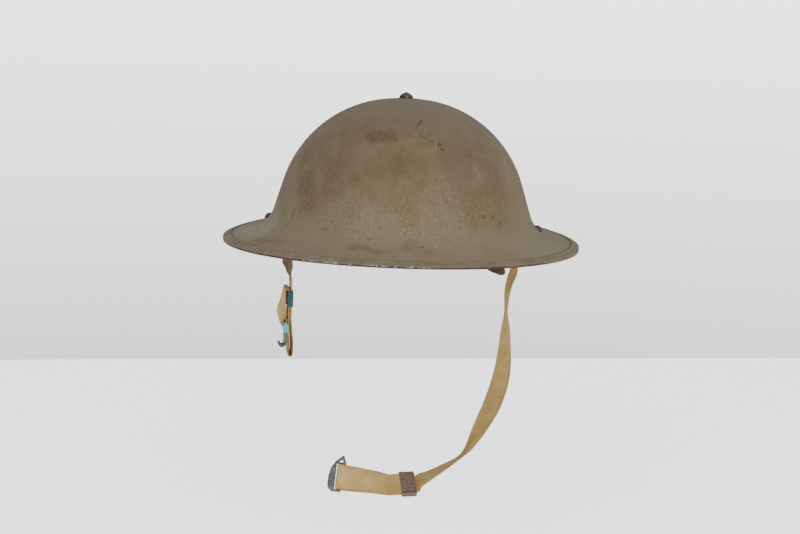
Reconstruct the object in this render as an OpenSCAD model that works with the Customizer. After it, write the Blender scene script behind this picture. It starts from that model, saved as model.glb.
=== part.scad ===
// Wide-brimmed pressed steel helmet with a one-bolt liner and a two-part web chin strap.
// X runs across the head, -Y is the front, +Z is up, and the brim's edge lies round z = 0.
// The straps keep the shape in which they were laid down: one hangs, one trails forward.

/* [Shell] */
// Half of the width over the brim's bare edge
rim_half_w = 140.6; // [138:0.2:144]
// Height of the brim's bare edge above the rim plane, on its upper face
edge_z = 0.5; // [0.1:0.1:1.5]
// Length of the brim's outline divided by its width
rim_ratio = 1.06; // [1.04:0.002:1.08]
// Length of the bowl divided by its width
bowl_ratio = 1.135; // [1.115:0.005:1.15]
// Height of the crown above the brim's edge
crown_h = 112; // [110:0.2:118]
// Thickness of the pressed sheet
steel_t = 1; // [0.8:0.05:1.3]
// Radius of the arc over the crown
crown_r = 133; // [120:1:150]
// Half angle of the arc over the crown
crown_a = 8.2; // [6:0.2:11]
// Radius of the arc from the crown down to the wall
shoulder_r = 93; // [90:0.5:94]
// Lean of the bowl's wall from upright
wall_lean = 17.6; // [16:0.1:19]
// Radius of the hollow between wall and brim
root_r = 20.4; // [18:0.2:24]
// Slope of the brim
brim_slope = 18.2; // [17:0.1:20]

/* [Rim strip] */
// Thickness of the strip folded over the brim's edge
strip_t = 0.55; // [0.4:0.05:0.8]
// Reach of the strip onto the brim
strip_w = 5.2; // [3.5:0.1:6]
// Gap between the strip and the sheet it grips
strip_fit = 0.05; // [0.03:0.01:0.1]
// Gap at the butt joint in the strip, at the back
strip_joint = 0.5; // [0.3:0.1:1]

/* [Crown fastening] */
// Radius of the crown bolt's shank
bolt_r = 2.4; // [2:0.1:2.8]
// Radial clearance of the bolt in every hole that it passes
bolt_fit = 0.1; // [0.05:0.01:0.2]
// Radius of the domed nut
dome_r = 5.2; // [4.6:0.1:6]
// Height of the domed nut's straight collar
collar_h = 0.4; // [0.3:0.1:1.2]
// Height of the domed nut over its collar
dome_h = 3.7; // [3.2:0.1:4.5]
// Radius of the washer under the domed nut
cap_washer_r = 5.5; // [5.4:0.1:7]
// Thickness of the metal washers
washer_t = 0.7; // [0.5:0.1:1]
// Radius of the felt washer inside the crown
felt_r = 10; // [8:0.5:12]
// Thickness of the felt washer
felt_t = 1.6; // [1:0.1:2.5]
// Radius of the bolt's head
head_r = 5; // [4.2:0.1:6]
// Height of the bolt's head
head_h = 2.2; // [1.8:0.1:2.8]

/* [Liner] */
// Half width of the sweatband's inside, at ear level
band_half_w = 77; // [74:0.5:80]
// Length of the sweatband divided by its width
band_ratio = 1.24; // [1.2:0.005:1.25]
// Thickness of the sweatband's leather
leather_t = 1.8; // [1.4:0.1:2.2]
// Height of the sweatband's lower edge
band_low = -4; // [-6:0.5:0]
// Height of the sweatband's upper edge
band_top = 33; // [31:0.5:36]
// Thickness of the liner's sheet steel
liner_t = 0.8; // [0.6:0.05:1]
// Height of the hoop's lower edge
hoop_low = 14; // [11:0.5:16]
// Height of the hoop
hoop_h = 18; // [15:0.5:20]
// Width of the spring arms
arm_w = 16; // [12:0.5:20]
// Clearance of the side arm's middle line under the shell's shoulder
cross_clear = 3.4; // [2.6:0.1:6]
// Clearance of the front-to-back arm's middle line under the shell's shoulder
long_clear = 1.4; // [1.3:0.1:2.4]
// Radius of the liner rivets' shanks
pin_r = 1.5; // [1.2:0.1:1.8]
// Radius of the liner rivets' heads
pin_head_r = 3; // [2.6:0.1:3.6]
// Height of the liner rivets' heads
pin_head_h = 0.5; // [0.4:0.05:0.6]
// Half width of the crown pad
pad_half_w = 44; // [38:1:48]
// Thickness of the crown pad
pad_t = 12; // [9:0.5:14]
// Gap that a soft piece keeps to what carries it
soft_gap = 0.3; // [0.2:0.05:0.5]

/* [Strap lugs and bails] */
// Distance of the lug rivets outside the foot of the bowl's wall
lug_out = 6; // [5.2:0.2:8]
// Radius of the lug rivet's shank
lug_pin_r = 1.8; // [1.5:0.1:2.2]
// Radius of the lug rivet's cap
lug_cap_r = 3.8; // [3:0.1:4]
// Height of the lug rivet's cap
lug_cap_h = 3; // [1.8:0.1:3]
// Clearance of a rivet in its holes
rivet_fit = 0.08; // [0.05:0.01:0.15]
// Width of the lug
lug_w = 12; // [10:0.5:14]
// Thickness of the lug's sheet
lug_t = 1.2; // [1:0.1:1.5]
// Distance of the lug's eye inside the foot of the bowl's wall
eye_in = 8.88; // [8:0.05:9.8]
// Depth of the lug's eye below the foot of the bowl's wall
eye_drop = 14.55; // [13:0.1:16]
// Radius of the bail's wire
wire_r = 1.25; // [1:0.05:1.4]
// Clearance of the wire in the lug's eye
wire_fit = 0.08; // [0.05:0.01:0.1]
// Distance between the bail's two bars
bail_h = 12; // [10:0.5:14]

/* [Webbing] */
// Width of the webbing
web_w = 19; // [17:0.5:19.5]
// Thickness of the webbing
web_t = 1.3; // [1.1:0.1:1.5]
// Free space beside the webbing in each loop and slot
web_side = 0.7; // [0.5:0.1:1]
// Turn of the left strap's lower part about the upright, in degrees
strap_turn = 16; // [10:0.5:17]
// Gap between two layers of webbing
layer_gap = 0.45; // [0.4:0.05:0.7]
// Gap between the webbing and a round bar that it wraps
wrap_gap = 0.4; // [0.3:0.05:0.5]

/* [Brass fittings] */
// Length of the adjuster along the strap
adjuster_l = 13; // [10:0.5:14]
// Wall of the adjuster
adjuster_t = 0.6; // [0.5:0.05:0.8]
// Length of the keeper along the strap
keeper_l = 11.5; // [9:0.5:13]
// Wall of the keeper
keeper_t = 0.65; // [0.5:0.05:1]
// Gap between a sleeve and the webbing in it
sleeve_gap = 0.2; // [0.15:0.05:0.3]
// Radius of the bars on the hook and the end buckle
bar_r = 1.1; // [0.9:0.05:1.2]
// Thickness of the hook's stem
hook_t = 2.2; // [2:0.1:2.6]
// Width of the hook's stem
hook_w = 6.5; // [5:0.5:8]
// Half thickness of the end buckle's ear
ear_r = 0.95; // [0.8:0.05:1.1]

/* [Hidden] */

// Colours
olive = "#7c6d55";
rim_brown = "#5b4c40";
dark_steel = "#5c5850";
felt_grey = "#8d8676";
leather = "#5a3324";
webbing = "#b59768";
verdigris = "#53706a";
keeper_brown = "#7d6756";

// Facets of round work
fine = 180;
plain = 48;

function unit(v) = v / norm(v);

// The shell's outer profile runs over points p1 to p5, each a radius and a height, and the
// centres c2 and c3. Its arcs meet tangent to each other.
wall_a = 90 - wall_lean;
p1 = [crown_r * sin(crown_a), crown_h - crown_r * (1 - cos(crown_a))];
c2 = p1 - shoulder_r * [sin(crown_a), cos(crown_a)];
p2 = c2 + shoulder_r * [sin(wall_a), cos(wall_a)];
root_step = root_r * [sin(wall_a) - sin(brim_slope), cos(wall_a) - cos(brim_slope)];
wall_l = (p2[1] + root_step[1] - edge_z - (rim_half_w - p2[0] - root_step[0]) * tan(brim_slope))
    / (cos(wall_lean) - sin(wall_lean) * tan(brim_slope));
p3 = p2 + wall_l * [sin(wall_lean), -cos(wall_lean)];
c3 = p3 + root_r * [sin(wall_a), cos(wall_a)];
p4 = p3 + root_step;
past_rim = 5;
p5 = [rim_half_w + past_rim, edge_z - past_rim * tan(brim_slope)];
lug_rivet_x = p3[0] + lug_out;
eye_x = p3[0] - eye_in;
eye_z = p3[1] - eye_drop;

// Slope and height of the outer surface at a radius in the hollow or on the brim
function slope_at(r) = r < p4[0] ? asin((c3[0] - r) / root_r) : brim_slope;
function height_at(r) = r < p4[0] ? c3[1] - root_r * cos(slope_at(r))
    : p4[1] - (r - p4[0]) * tan(brim_slope);

// Middle lines of the arcs as points, each a radius and a height
function arc_points(c, r, from, to, n, sign) = [for (i = [0 : n])
    let (a = from + (to - from) * i / n)
    c + sign * r * [sin(a), cos(a)]];

// Outer profile moved inwards by a depth
function profile(depth) = concat(
    arc_points([0, crown_h - crown_r], crown_r - depth, 0.5, crown_a, 3, 1),
    arc_points(c2, shoulder_r - depth, crown_a + 3.5, wall_a, 17, 1),
    arc_points(c3, root_r + depth, wall_a, brim_slope, 12, -1),
    [p5 - depth * [sin(brim_slope), cos(brim_slope)]]);

function reversed(v) = [for (i = [1 : len(v)]) v[len(v) - i]];

// The sheet's section, grown on both faces
module sheet_section(grow) {
    polygon(concat(profile(-grow), reversed(profile(steel_t + grow))));
}

// An upright oval cylinder through the whole height of the shell
module oval(r, ratio) {
    translate([0, 0, -crown_h]) scale([1, ratio, 1])
        cylinder(r = r, h = 3 * crown_h, $fn = 2 * fine);
}

// Places its children on the right side's lug rivet, with +Z along the rivet's outward axis
module on_lug_rivet() {
    translate([lug_rivet_x, 0, height_at(lug_rivet_x)])
        rotate([0, slope_at(lug_rivet_x), 0]) children();
}

// An oval turning of its children, made in quarters
module quarters(ratio) {
    for (q = [0 : 3]) scale([1, ratio, 1]) rotate([0, 0, 90 * q])
        rotate_extrude(angle = 90, $fn = 2 * fine) children();
}

module shell() {
    color(olive) difference() {
        intersection() {
            quarters(bowl_ratio) sheet_section(0);
            oval(rim_half_w, rim_ratio);
        }
        translate([0, 0, crown_h / 2]) cylinder(r = bolt_r + bolt_fit, h = crown_h, $fn = plain);
        for (side = [0, 1]) mirror([side, 0, 0]) on_lug_rivet()
            translate([0, 0, -5 * steel_t])
                cylinder(r = lug_pin_r + rivet_fit, h = 10 * steel_t, $fn = plain);
    }
}

module rim_strip() {
    color(rim_brown) difference() {
        intersection() {
            quarters(bowl_ratio) sheet_section(strip_fit + strip_t);
            oval(rim_half_w + strip_fit + strip_t, rim_ratio);
        }
        intersection() {
            quarters(bowl_ratio) sheet_section(strip_fit);
            oval(rim_half_w + strip_fit, rim_ratio);
        }
        oval(rim_half_w - strip_w, rim_ratio);
        translate([-strip_joint / 2, 0, -rim_half_w / 2])
            cube([strip_joint, 2 * rim_half_w, rim_half_w]);
    }
}

// Crown fastening, from the domed nut down to the bolt's head
hole_r = bolt_r + bolt_fit;
felt_top = crown_h - steel_t - felt_r * felt_r / (2 * (crown_r - steel_t)) - 0.02;
arm_top = felt_top - felt_t;
low_arm_top = arm_top - liner_t;
pad_top = low_arm_top - liner_t - 0.05;
pad_web_t = 1.6;
pad_well_r = 9;
pad_ratio = 1.15;
bolt_washer_top = pad_top - pad_web_t - 0.05;
head_top = bolt_washer_top - washer_t;
nut_base = crown_h + washer_t;
nut_depth = collar_h + 0.4 * dome_h;

module washer(r, top, t) {
    translate([0, 0, top - t]) difference() {
        cylinder(r = r, h = t, $fn = plain);
        translate([0, 0, -t]) cylinder(r = hole_r, h = 3 * t, $fn = plain);
    }
}

// A collar with a pointed dome: round at first, then drawn up to a tip
module crown_dome_nut() {
    steps = 12;
    sharpness = 1.1;
    flare = [for (i = [0 : steps])
        let (u = i / steps)
        [dome_r * pow(1 - u * u, sharpness), collar_h + dome_h * u]];
    color(dark_steel) translate([0, 0, nut_base]) difference() {
        rotate_extrude($fn = fine) polygon(concat([[0, 0], [dome_r, 0]], flare));
        translate([0, 0, -1]) cylinder(r = hole_r, h = 1 + nut_depth, $fn = plain);
    }
}

module cap_washer() {
    color(dark_steel) washer(cap_washer_r, nut_base, washer_t);
}

module felt_washer() {
    color(felt_grey) washer(felt_r, felt_top, felt_t);
}

module bolt_washer() {
    color(dark_steel) washer(head_r + 1.5, bolt_washer_top, washer_t);
}

module crown_bolt() {
    slot_w = 1.2;
    slot_d = 1;
    color(dark_steel) difference() {
        union() {
            translate([0, 0, head_top - head_h]) cylinder(r = head_r, h = head_h, $fn = plain);
            translate([0, 0, head_top - head_h / 2])
                cylinder(r = bolt_r, h = nut_base + nut_depth - 0.3 - head_top + head_h / 2, $fn = plain);
        }
        translate([-2 * head_r, -slot_w / 2, head_top - head_h - 1])
            cube([4 * head_r, slot_w, 1 + slot_d]);
    }
}

// Liner: two spring arms, an oval hoop, the sweatband and the crown pad
sweat_r = band_half_w + leather_t;
pin_in = sweat_r + soft_gap;
hoop_in = pin_in + pin_head_h;
hoop_out = hoop_in + liner_t;
hoop_len_in = pin_in * band_ratio + pin_head_h;
hoop_ratio = hoop_len_in / hoop_in;
arm_flat = 12;
arm_drop_z = hoop_low + hoop_h + 1;
arm_touch = 0.05;
side_reach = hoop_out + arm_touch + liner_t / 2;
long_reach = hoop_len_in + liner_t * hoop_ratio + arm_touch + liner_t / 2;
long_top = arm_top - liner_t / 2;
cross_top = low_arm_top - liner_t / 2;

// Squareness of an arm's curve, 2 for an ellipse, that keeps a clearance inside the shoulder's arc
// halfway round the curve. ratio is the bowl's stretch along the arm. Under a tall crown the
// greatest squareness, most, keeps the arm off the wall.
long_most = 2.08;
cross_most = 2.2;
function arm_power(reach, top, clear, ratio, most) =
    let (from = [arm_flat / ratio, arm_drop_z] - c2,
        way = [(reach - arm_flat) / ratio, top - arm_drop_z],
        inside = shoulder_r - steel_t - clear,
        a = way * way, b = 2 * from * way, c = from * from - inside * inside,
        share = (sqrt(b * b - 4 * a * c) - b) / (2 * a))
    min(most, -ln(2) / ln(share));
long_power = arm_power(long_reach, long_top, long_clear, bowl_ratio, long_most);
cross_power = arm_power(side_reach, cross_top, cross_clear, 1, cross_most);

// One quarter of an arm's middle line: flat, then curved, then straight down beside the hoop
function arm_line(reach, top, power) = concat(
    [[0, top]],
    [for (i = [0 : 16])
        let (a = 90 * i / 16)
        [arm_flat + (reach - arm_flat) * pow(sin(a), 2 / power),
         arm_drop_z + (top - arm_drop_z) * pow(cos(a), 2 / power)]],
    [[reach, hoop_low]]);

// Points beside a line, at a distance to its right
function beside(line, d) = [for (i = [0 : len(line) - 1])
    let (a = line[max(i - 1, 0)], b = line[min(i + 1, len(line) - 1)], v = unit(b - a))
    line[i] + d * [v[1], -v[0]]];

module arm(reach, top, power) {
    line = arm_line(reach, top, power);
    half = concat(beside(line, -liner_t / 2), reversed(beside(line, liner_t / 2)));
    difference() {
        union() for (side = [0, 1]) mirror([side, 0, 0])
            rotate([90, 0, 0]) translate([0, 0, -arm_w / 2])
                linear_extrude(arm_w) polygon(half);
        translate([0, 0, top - 5]) cylinder(r = hole_r, h = 10, $fn = plain);
        for (side = [-1, 1]) translate([side * reach, 0, hoop_low + hoop_h / 2])
            rotate([0, 90, 0]) translate([0, 0, -5])
                cylinder(r = pin_r + rivet_fit, h = 10, $fn = plain);
    }
}

module long_arm() {
    color(dark_steel) rotate([0, 0, 90]) arm(long_reach, long_top, long_power);
}

module cross_arm() {
    color(dark_steel) arm(side_reach, cross_top, cross_power);
}

// An upright oval ring between two heights.
// The turn by 45 degrees keeps the cylinders' seams away from the rivet holes
module oval_ring(out_r, in_r, ratio, low, high) {
    translate([0, 0, low]) scale([1, ratio, 1]) rotate([0, 0, 45]) difference() {
        cylinder(r = out_r, h = high - low, $fn = fine);
        translate([0, 0, -1]) cylinder(r = in_r, h = high - low + 2, $fn = fine);
    }
}

// Runs its children at the four places where an arm is riveted to the hoop
module at_liner_rivets() {
    mid = hoop_low + hoop_h / 2;
    for (turn = [0, 180]) rotate([0, 0, turn]) {
        translate([hoop_in, 0, mid]) rotate([0, 90, 0]) children();
        rotate([0, 0, 90]) translate([hoop_len_in, 0, mid]) rotate([0, 90, 0]) children();
    }
}

module liner_hoop() {
    color(dark_steel) difference() {
        oval_ring(hoop_out, hoop_in, hoop_ratio, hoop_low, hoop_low + hoop_h);
        at_liner_rivets() translate([0, 0, -5])
            cylinder(r = pin_r + rivet_fit, h = 10, $fn = plain);
    }
}

// A head inside the hoop, clear of its hollow face, a shank, and a spread end outside the arm
module liner_rivets() {
    grip = 2 * liner_t + 0.3;
    head_gap = 0.1;
    color(dark_steel) at_liner_rivets() {
        translate([0, 0, -pin_head_h])
            cylinder(r = pin_head_r, h = pin_head_h - head_gap, $fn = plain);
        translate([0, 0, -pin_head_h]) cylinder(r = pin_r, h = grip + pin_head_h + 0.1, $fn = plain);
        translate([0, 0, grip]) cylinder(r1 = pin_head_r, r2 = pin_r, h = 1, $fn = plain);
    }
}

module sweatband() {
    color(leather) oval_ring(sweat_r, band_half_w, band_ratio, band_low, band_top);
}

// Hair-filled pad under the arms: a crescent in section, with a thin middle that the bolt
// clamps and a well below it for the bolt's head. Its top falls a little faster than the long arm.
pad_edge_gap = 0.9;
pad_edge_at = (pad_half_w * pad_ratio - arm_flat) / (long_reach - arm_flat);
pad_drop = pad_edge_gap + (long_top - arm_drop_z)
    * (1 - pow(1 - pow(pad_edge_at, long_power), 1 / long_power));
pad_curve_r = (pad_half_w * pad_half_w + pad_drop * pad_drop) / (2 * pad_drop);

module crown_pad() {
    low = pad_top - pad_curve_r;
    color(leather) difference() {
        quarters(pad_ratio) difference() {
            intersection() {
                translate([0, low]) circle(r = pad_curve_r, $fn = 2 * fine);
                translate([0.5, low]) square([pad_half_w - 0.5, 2 * pad_curve_r]);
            }
            translate([0, low - pad_t]) circle(r = pad_curve_r, $fn = 2 * fine);
        }
        translate([0, 0, pad_top - 2 * pad_t]) cylinder(r = hole_r, h = 3 * pad_t, $fn = plain);
        translate([0, 0, pad_top - pad_web_t - 2 * pad_t]) cylinder(r = pad_well_r, h = 2 * pad_t, $fn = plain);
    }
}

// Lug: a plate on the inside of the brim's root, bent inwards to a rolled eye
eye_bore = wire_r + wire_fit;
eye_out = eye_bore + lug_t;
lug_half_l = 5.5;
lug_seat = 0.14;

module right_lug() {
    a = slope_at(lug_rivet_x);
    down = [cos(a), -sin(a)];
    out = [sin(a), cos(a)];
    seat = [lug_rivet_x, height_at(lug_rivet_x)] - out * (steel_t + lug_seat);
    inner = seat - down * lug_half_l;
    outer = seat + down * lug_half_l;
    eye = [eye_x, eye_z];
    knee = inner - out * lug_t;
    run = unit(knee - eye);
    side = [-run[1], run[0]];
    color(dark_steel) difference() {
        rotate([90, 0, 0]) translate([0, 0, -lug_w / 2]) difference() {
            union() {
                linear_extrude(lug_w) polygon([inner, outer, outer - out * lug_t, knee]);
                linear_extrude(lug_w) polygon([eye + side * (eye_out - 0.2), inner, knee + down,
                    eye + side * (eye_bore + 0.2)]);
                translate(eye) cylinder(r = eye_out, h = lug_w, $fn = plain);
            }
            translate([eye[0], eye[1], -1]) cylinder(r = eye_bore, h = lug_w + 2, $fn = plain);
        }
        on_lug_rivet() translate([0, 0, -6]) cylinder(r = lug_pin_r + rivet_fit, h = 8, $fn = plain);
    }
}

module left_lug() {
    mirror([1, 0, 0]) right_lug();
}

module right_lug_rivet() {
    tail = steel_t + lug_seat + lug_t + 0.05;
    // The cap's edge stands over the hollow's curve
    cap_low = lug_cap_r * lug_cap_r / (2 * root_r) + 0.03;
    color(dark_steel) on_lug_rivet() {
        intersection() {
            translate([0, 0, -0.6]) scale([1, 1, (lug_cap_h + 0.6) / lug_cap_r])
                sphere(r = lug_cap_r, $fn = plain);
            translate([0, 0, cap_low]) cylinder(r = 2 * lug_cap_r, h = 2 * lug_cap_h, $fn = plain);
        }
        translate([0, 0, -tail - 0.5]) cylinder(r = lug_pin_r, h = tail + 1, $fn = plain);
        translate([0, 0, -tail - 1]) cylinder(r = lug_pin_r + 1.2, h = 1, $fn = plain);
    }
}

module left_lug_rivet() {
    mirror([1, 0, 0]) right_lug_rivet();
}

// Bail: a rectangular wire loop that hangs in the lug's eye
bail_half = web_w / 2 + web_side + wire_r;
bar_z = eye_z - bail_h;

module bail_ring(x) {
    ends = [[x, -bail_half, eye_z], [x, bail_half, eye_z], [x, bail_half, bar_z], [x, -bail_half, bar_z]];
    translate(ends[0]) rotate([-90, 0, 0]) cylinder(r = wire_r, h = 2 * bail_half, $fn = plain);
    translate(ends[3]) rotate([-90, 0, 0]) cylinder(r = wire_r, h = 2 * bail_half, $fn = plain);
    translate(ends[2]) cylinder(r = wire_r, h = bail_h, $fn = plain);
    translate(ends[3]) cylinder(r = wire_r, h = bail_h, $fn = plain);
    for (p = ends) translate(p) sphere(r = wire_r, $fn = plain);
}

module right_bail() {
    color(dark_steel) bail_ring(eye_x);
}

module left_bail() {
    color(dark_steel) bail_ring(-eye_x);
}

// Webbing is a flat ribbon swept along stations. A station is a point and the direction of
// the ribbon's width there, six numbers in all.
function xyz(s) = [s[0], s[1], s[2]];
function across(s) = [s[3], s[4], s[5]];
function catmull(a, b, c, d, u) = 0.5 * (2 * b + (c - a) * u + (2 * a - 5 * b + 4 * c - d) * u * u
    + (3 * b - a - 3 * c + d) * u * u * u);
function smooth_run(s, n) = concat(
    [for (i = [0 : len(s) - 2], k = [0 : n - 1])
        catmull(s[max(i - 1, 0)], s[i], s[i + 1], s[min(i + 2, len(s) - 1)], k / n)],
    [s[len(s) - 1]]);
// Moves stations from a local origin to where that origin lies
function placed(s, at) = [for (q = s) [at[0] + q[0], at[1] + q[1], at[2] + q[2], q[3], q[4], q[5]]];
// Turns stations about the upright
function turned(s, a) = [for (q = s)
    [q[0] * cos(a) - q[1] * sin(a), q[0] * sin(a) + q[1] * cos(a), q[2],
     q[3] * cos(a) - q[4] * sin(a), q[3] * sin(a) + q[4] * cos(a), q[5]]];
// Stations on an arc round a bar that runs along Y, from one clock angle to another
function round_bar(r, from, to, n, w) = [for (i = [0 : n])
    let (a = from + (to - from) * i / n)
    [r * sin(a), 0, r * cos(a), 0, w, 0]];
// Frame at station i: point, direction, width direction and face direction
function frame_at(s, i) =
    let (t = unit(xyz(s[min(i + 1, len(s) - 1)]) - xyz(s[max(i - 1, 0)])),
        w = unit(across(s[i]) - (across(s[i]) * t) * t))
    [xyz(s[i]), t, w, cross(t, w)];

module ribbon(s, width, t) {
    n = len(s);
    corners = [for (i = [0 : n - 1])
        let (f = frame_at(s, i), h = (is_list(width) ? width[i] : width) / 2)
        each [f[0] + f[2] * h + f[3] * t / 2, f[0] + f[2] * h - f[3] * t / 2,
            f[0] - f[2] * h - f[3] * t / 2, f[0] - f[2] * h + f[3] * t / 2]];
    four_sided(corners, n);
}

// Closed strip through n stations that have four corners each
module four_sided(corners, n) {
    sides = [for (i = [0 : n - 2], k = [0 : 3])
        let (a = 4 * i + k, b = 4 * i + (k + 1) % 4)
        each [[a, a + 4, b + 4], [a, b + 4, b]]];
    last = 4 * (n - 1);
    polyhedron(corners, concat([[0, 1, 2, 3]], [[last + 3, last + 2, last + 1, last]], sides));
}

wrap_r = wire_r + wrap_gap + web_t / 2;
bar_wrap_r = bar_r + wrap_gap + web_t / 2;
layer_step = web_t + layer_gap;

// Left strap: from the bail down through the adjuster, round its lower loop, up again through
// the adjuster, and over to the hook's bar. Places are measured from the bail's lower bar, and
// all but the loop round that bar lie in a plane that is turned about the upright.
left_bar = [-eye_x, 0, bar_z];
run_x = 4;
back_x = run_x - layer_step;
loop_z = -92.5;
loop_x = 5.5;
loop_half = 1.65;
fold_z = -42;
fold_r = 1.6;
outer_x = back_x - 2 * fold_r;
hook_bar = [-1.7, 0, -68.2];

lower_left = concat(
    smooth_run([[1.1, 0, -17, 0.4, 0.92, 0], [2.8, 0, -23.5, 0.19, 0.98, 0], [3.8, 0, -31, 0.035, 1, 0],
        [run_x, 0, -38, 0, 1, 0], [run_x, 0, -46, 0, 1, 0], [run_x, 0, -56, 0, 1, 0],
        [run_x, 0, -65, 0, 1, 0], [run_x + 0.7, 0, -74, 0, 1, 0], [loop_x, 0, -84, 0, 1, 0],
        [loop_x, 0, loop_z, 0, 1, 0]], 4),
    [for (i = [1 : 7])
        let (a = 180 * i / 8)
        [loop_x - loop_half * (1 - cos(a)), 0, loop_z - 2 * loop_half * sin(a), 0, 1, 0]],
    smooth_run([[loop_x - 2 * loop_half, 0, loop_z, 0, 1, 0], [back_x + 0.3, 0, -84, 0, 1, 0],
        [back_x, 0, -74, 0, 1, 0], [back_x, 0, -65, 0, 1, 0], [back_x, 0, -56, 0, 1, 0],
        [back_x, 0, -48, 0, 1, 0], [back_x, 0, fold_z, 0, 1, 0]], 4),
    [for (i = [1 : 7])
        let (a = 180 * i / 8)
        [back_x - fold_r * (1 - cos(a)), 0, fold_z + 1.4 * fold_r * sin(a), 0, 1, 0]],
    smooth_run([[outer_x, 0, fold_z, 0, 1, 0], [outer_x - 1.1, 0, -50.5, 0, 1, 0],
        [outer_x - 2.4, 0, -57.5, 0, 1, 0], [outer_x - 3.6, 0, -64, 0, 1, 0],
        [hook_bar[0] - bar_wrap_r, 0, hook_bar[2] + 0.5, 0, 1, 0]], 4),
    placed(round_bar(bar_wrap_r, -90, -270, 8, 1), hook_bar),
    [[hook_bar[0] + bar_wrap_r, 0, hook_bar[2] + 3, 0, 1, 0],
     [hook_bar[0] + bar_wrap_r, 0, hook_bar[2] + 5.5, 0, 1, 0]]);

left_route = concat(
    [[-wrap_r, 0, -10.5, 0, 1, 0], [-wrap_r, 0, -5, 0, 1, 0]],
    round_bar(wrap_r, -90, 90, 8, 1),
    [[wrap_r - 0.1, 0, -4, 0, 1, 0], [wrap_r - 0.5, 0.05, -8, 0.03, 1, 0],
     [wrap_r - 0.9, 0.15, -12, 0.08, 1, 0]],
    turned(lower_left, strap_turn));

module left_strap() {
    color(webbing) translate(left_bar) ribbon(left_route, web_w, web_t);
}

// A flat sleeve with a slot, its middle at the origin and its length along Z
module sleeve(length, slot_x, slot_y, wall) {
    translate([0, 0, -length / 2]) difference() {
        translate([-slot_x / 2 - wall, -slot_y / 2 - wall, 0])
            cube([slot_x + 2 * wall, slot_y + 2 * wall, length]);
        translate([-slot_x / 2, -slot_y / 2, -1]) cube([slot_x, slot_y, length + 2]);
    }
}

slot_w = web_w + 2 * sleeve_gap;
slot_t = layer_step + web_t + 2 * sleeve_gap;
adjuster_z = -48;

module left_adjuster() {
    color(verdigris) translate(left_bar) rotate([0, 0, strap_turn])
        translate([(run_x + back_x) / 2, 0, adjuster_z])
        sleeve(adjuster_l, slot_t, slot_w, adjuster_t);
}

// Hook: a bar between two cheeks, a bridge, and a stem with a turned-up tip
cheek_y = web_w / 2 + web_side;
cheek_t = 1.8;
stem_x = 1.65;

module left_hook() {
    cheek_x = 4.4;
    bridge_top = -4.4;
    stem_low = -17.9;
    tip_r = 1.2;
    color(verdigris) translate(left_bar) rotate([0, 0, strap_turn]) translate(hook_bar) {
        translate([0, -cheek_y - cheek_t / 2, 0]) rotate([-90, 0, 0])
            cylinder(r = bar_r, h = 2 * cheek_y + cheek_t, $fn = plain);
        for (side = [-1, 1]) translate([stem_x - cheek_x / 2, side * (cheek_y + cheek_t / 2), 0])
            rotate([90, 0, 0]) translate([0, 0, -cheek_t / 2])
                linear_extrude(cheek_t) polygon([[-0.8, 1.2], [cheek_x - 2.2, 1.2], [cheek_x, -2],
                    [cheek_x, -6.2], [cheek_x - 1.4, -7.2], [0.6, -7.2], [-0.6, -4.4]]);
        translate([stem_x - hook_t / 2, -cheek_y - cheek_t, bridge_top - 3])
            cube([hook_t, 2 * (cheek_y + cheek_t), 3]);
        rotate([90, 0, 0]) translate([0, 0, -hook_w / 2]) linear_extrude(hook_w) {
            translate([stem_x - hook_t / 2, stem_low]) square([hook_t, bridge_top - 1 - stem_low]);
            difference() {
                translate([stem_x - hook_t / 2 - tip_r, stem_low]) intersection() {
                    circle(r = tip_r + hook_t, $fn = plain);
                    translate([-9, -9]) square([18, 9]);
                }
                translate([stem_x - hook_t / 2 - tip_r, stem_low]) circle(r = tip_r, $fn = plain);
            }
            polygon([[stem_x - 1.5 * hook_t - 2 * tip_r, stem_low],
                [stem_x - hook_t / 2 - 2 * tip_r, stem_low],
                [stem_x - hook_t - 2 * tip_r - 0.5, stem_low + 0.9]]);
        }
    }
}

// Right strap: from the bail down and forward, laid over on its edge, through the keeper and
// round the end buckle's bar, with its end turned back into the keeper
right_bar = [eye_x, 0, bar_z];
laid_at = [-65.8, -83.5, -168.9];
laid_step = [-3.24, -0.86, -0.05];
laid_w = [0.05, -0.875, -0.482];
// Steps along the straight stretch: two close ones where it starts, then even ones
laid_k = [0.3, 0.65, 1.6, 2.5, 3.4, 4.3, 5.2, 6.1, 7];
function laid(k) = [laid_at[0] + k * laid_step[0], laid_at[1] + k * laid_step[1],
    laid_at[2] + k * laid_step[2], laid_w[0], laid_w[1], laid_w[2]];

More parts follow.
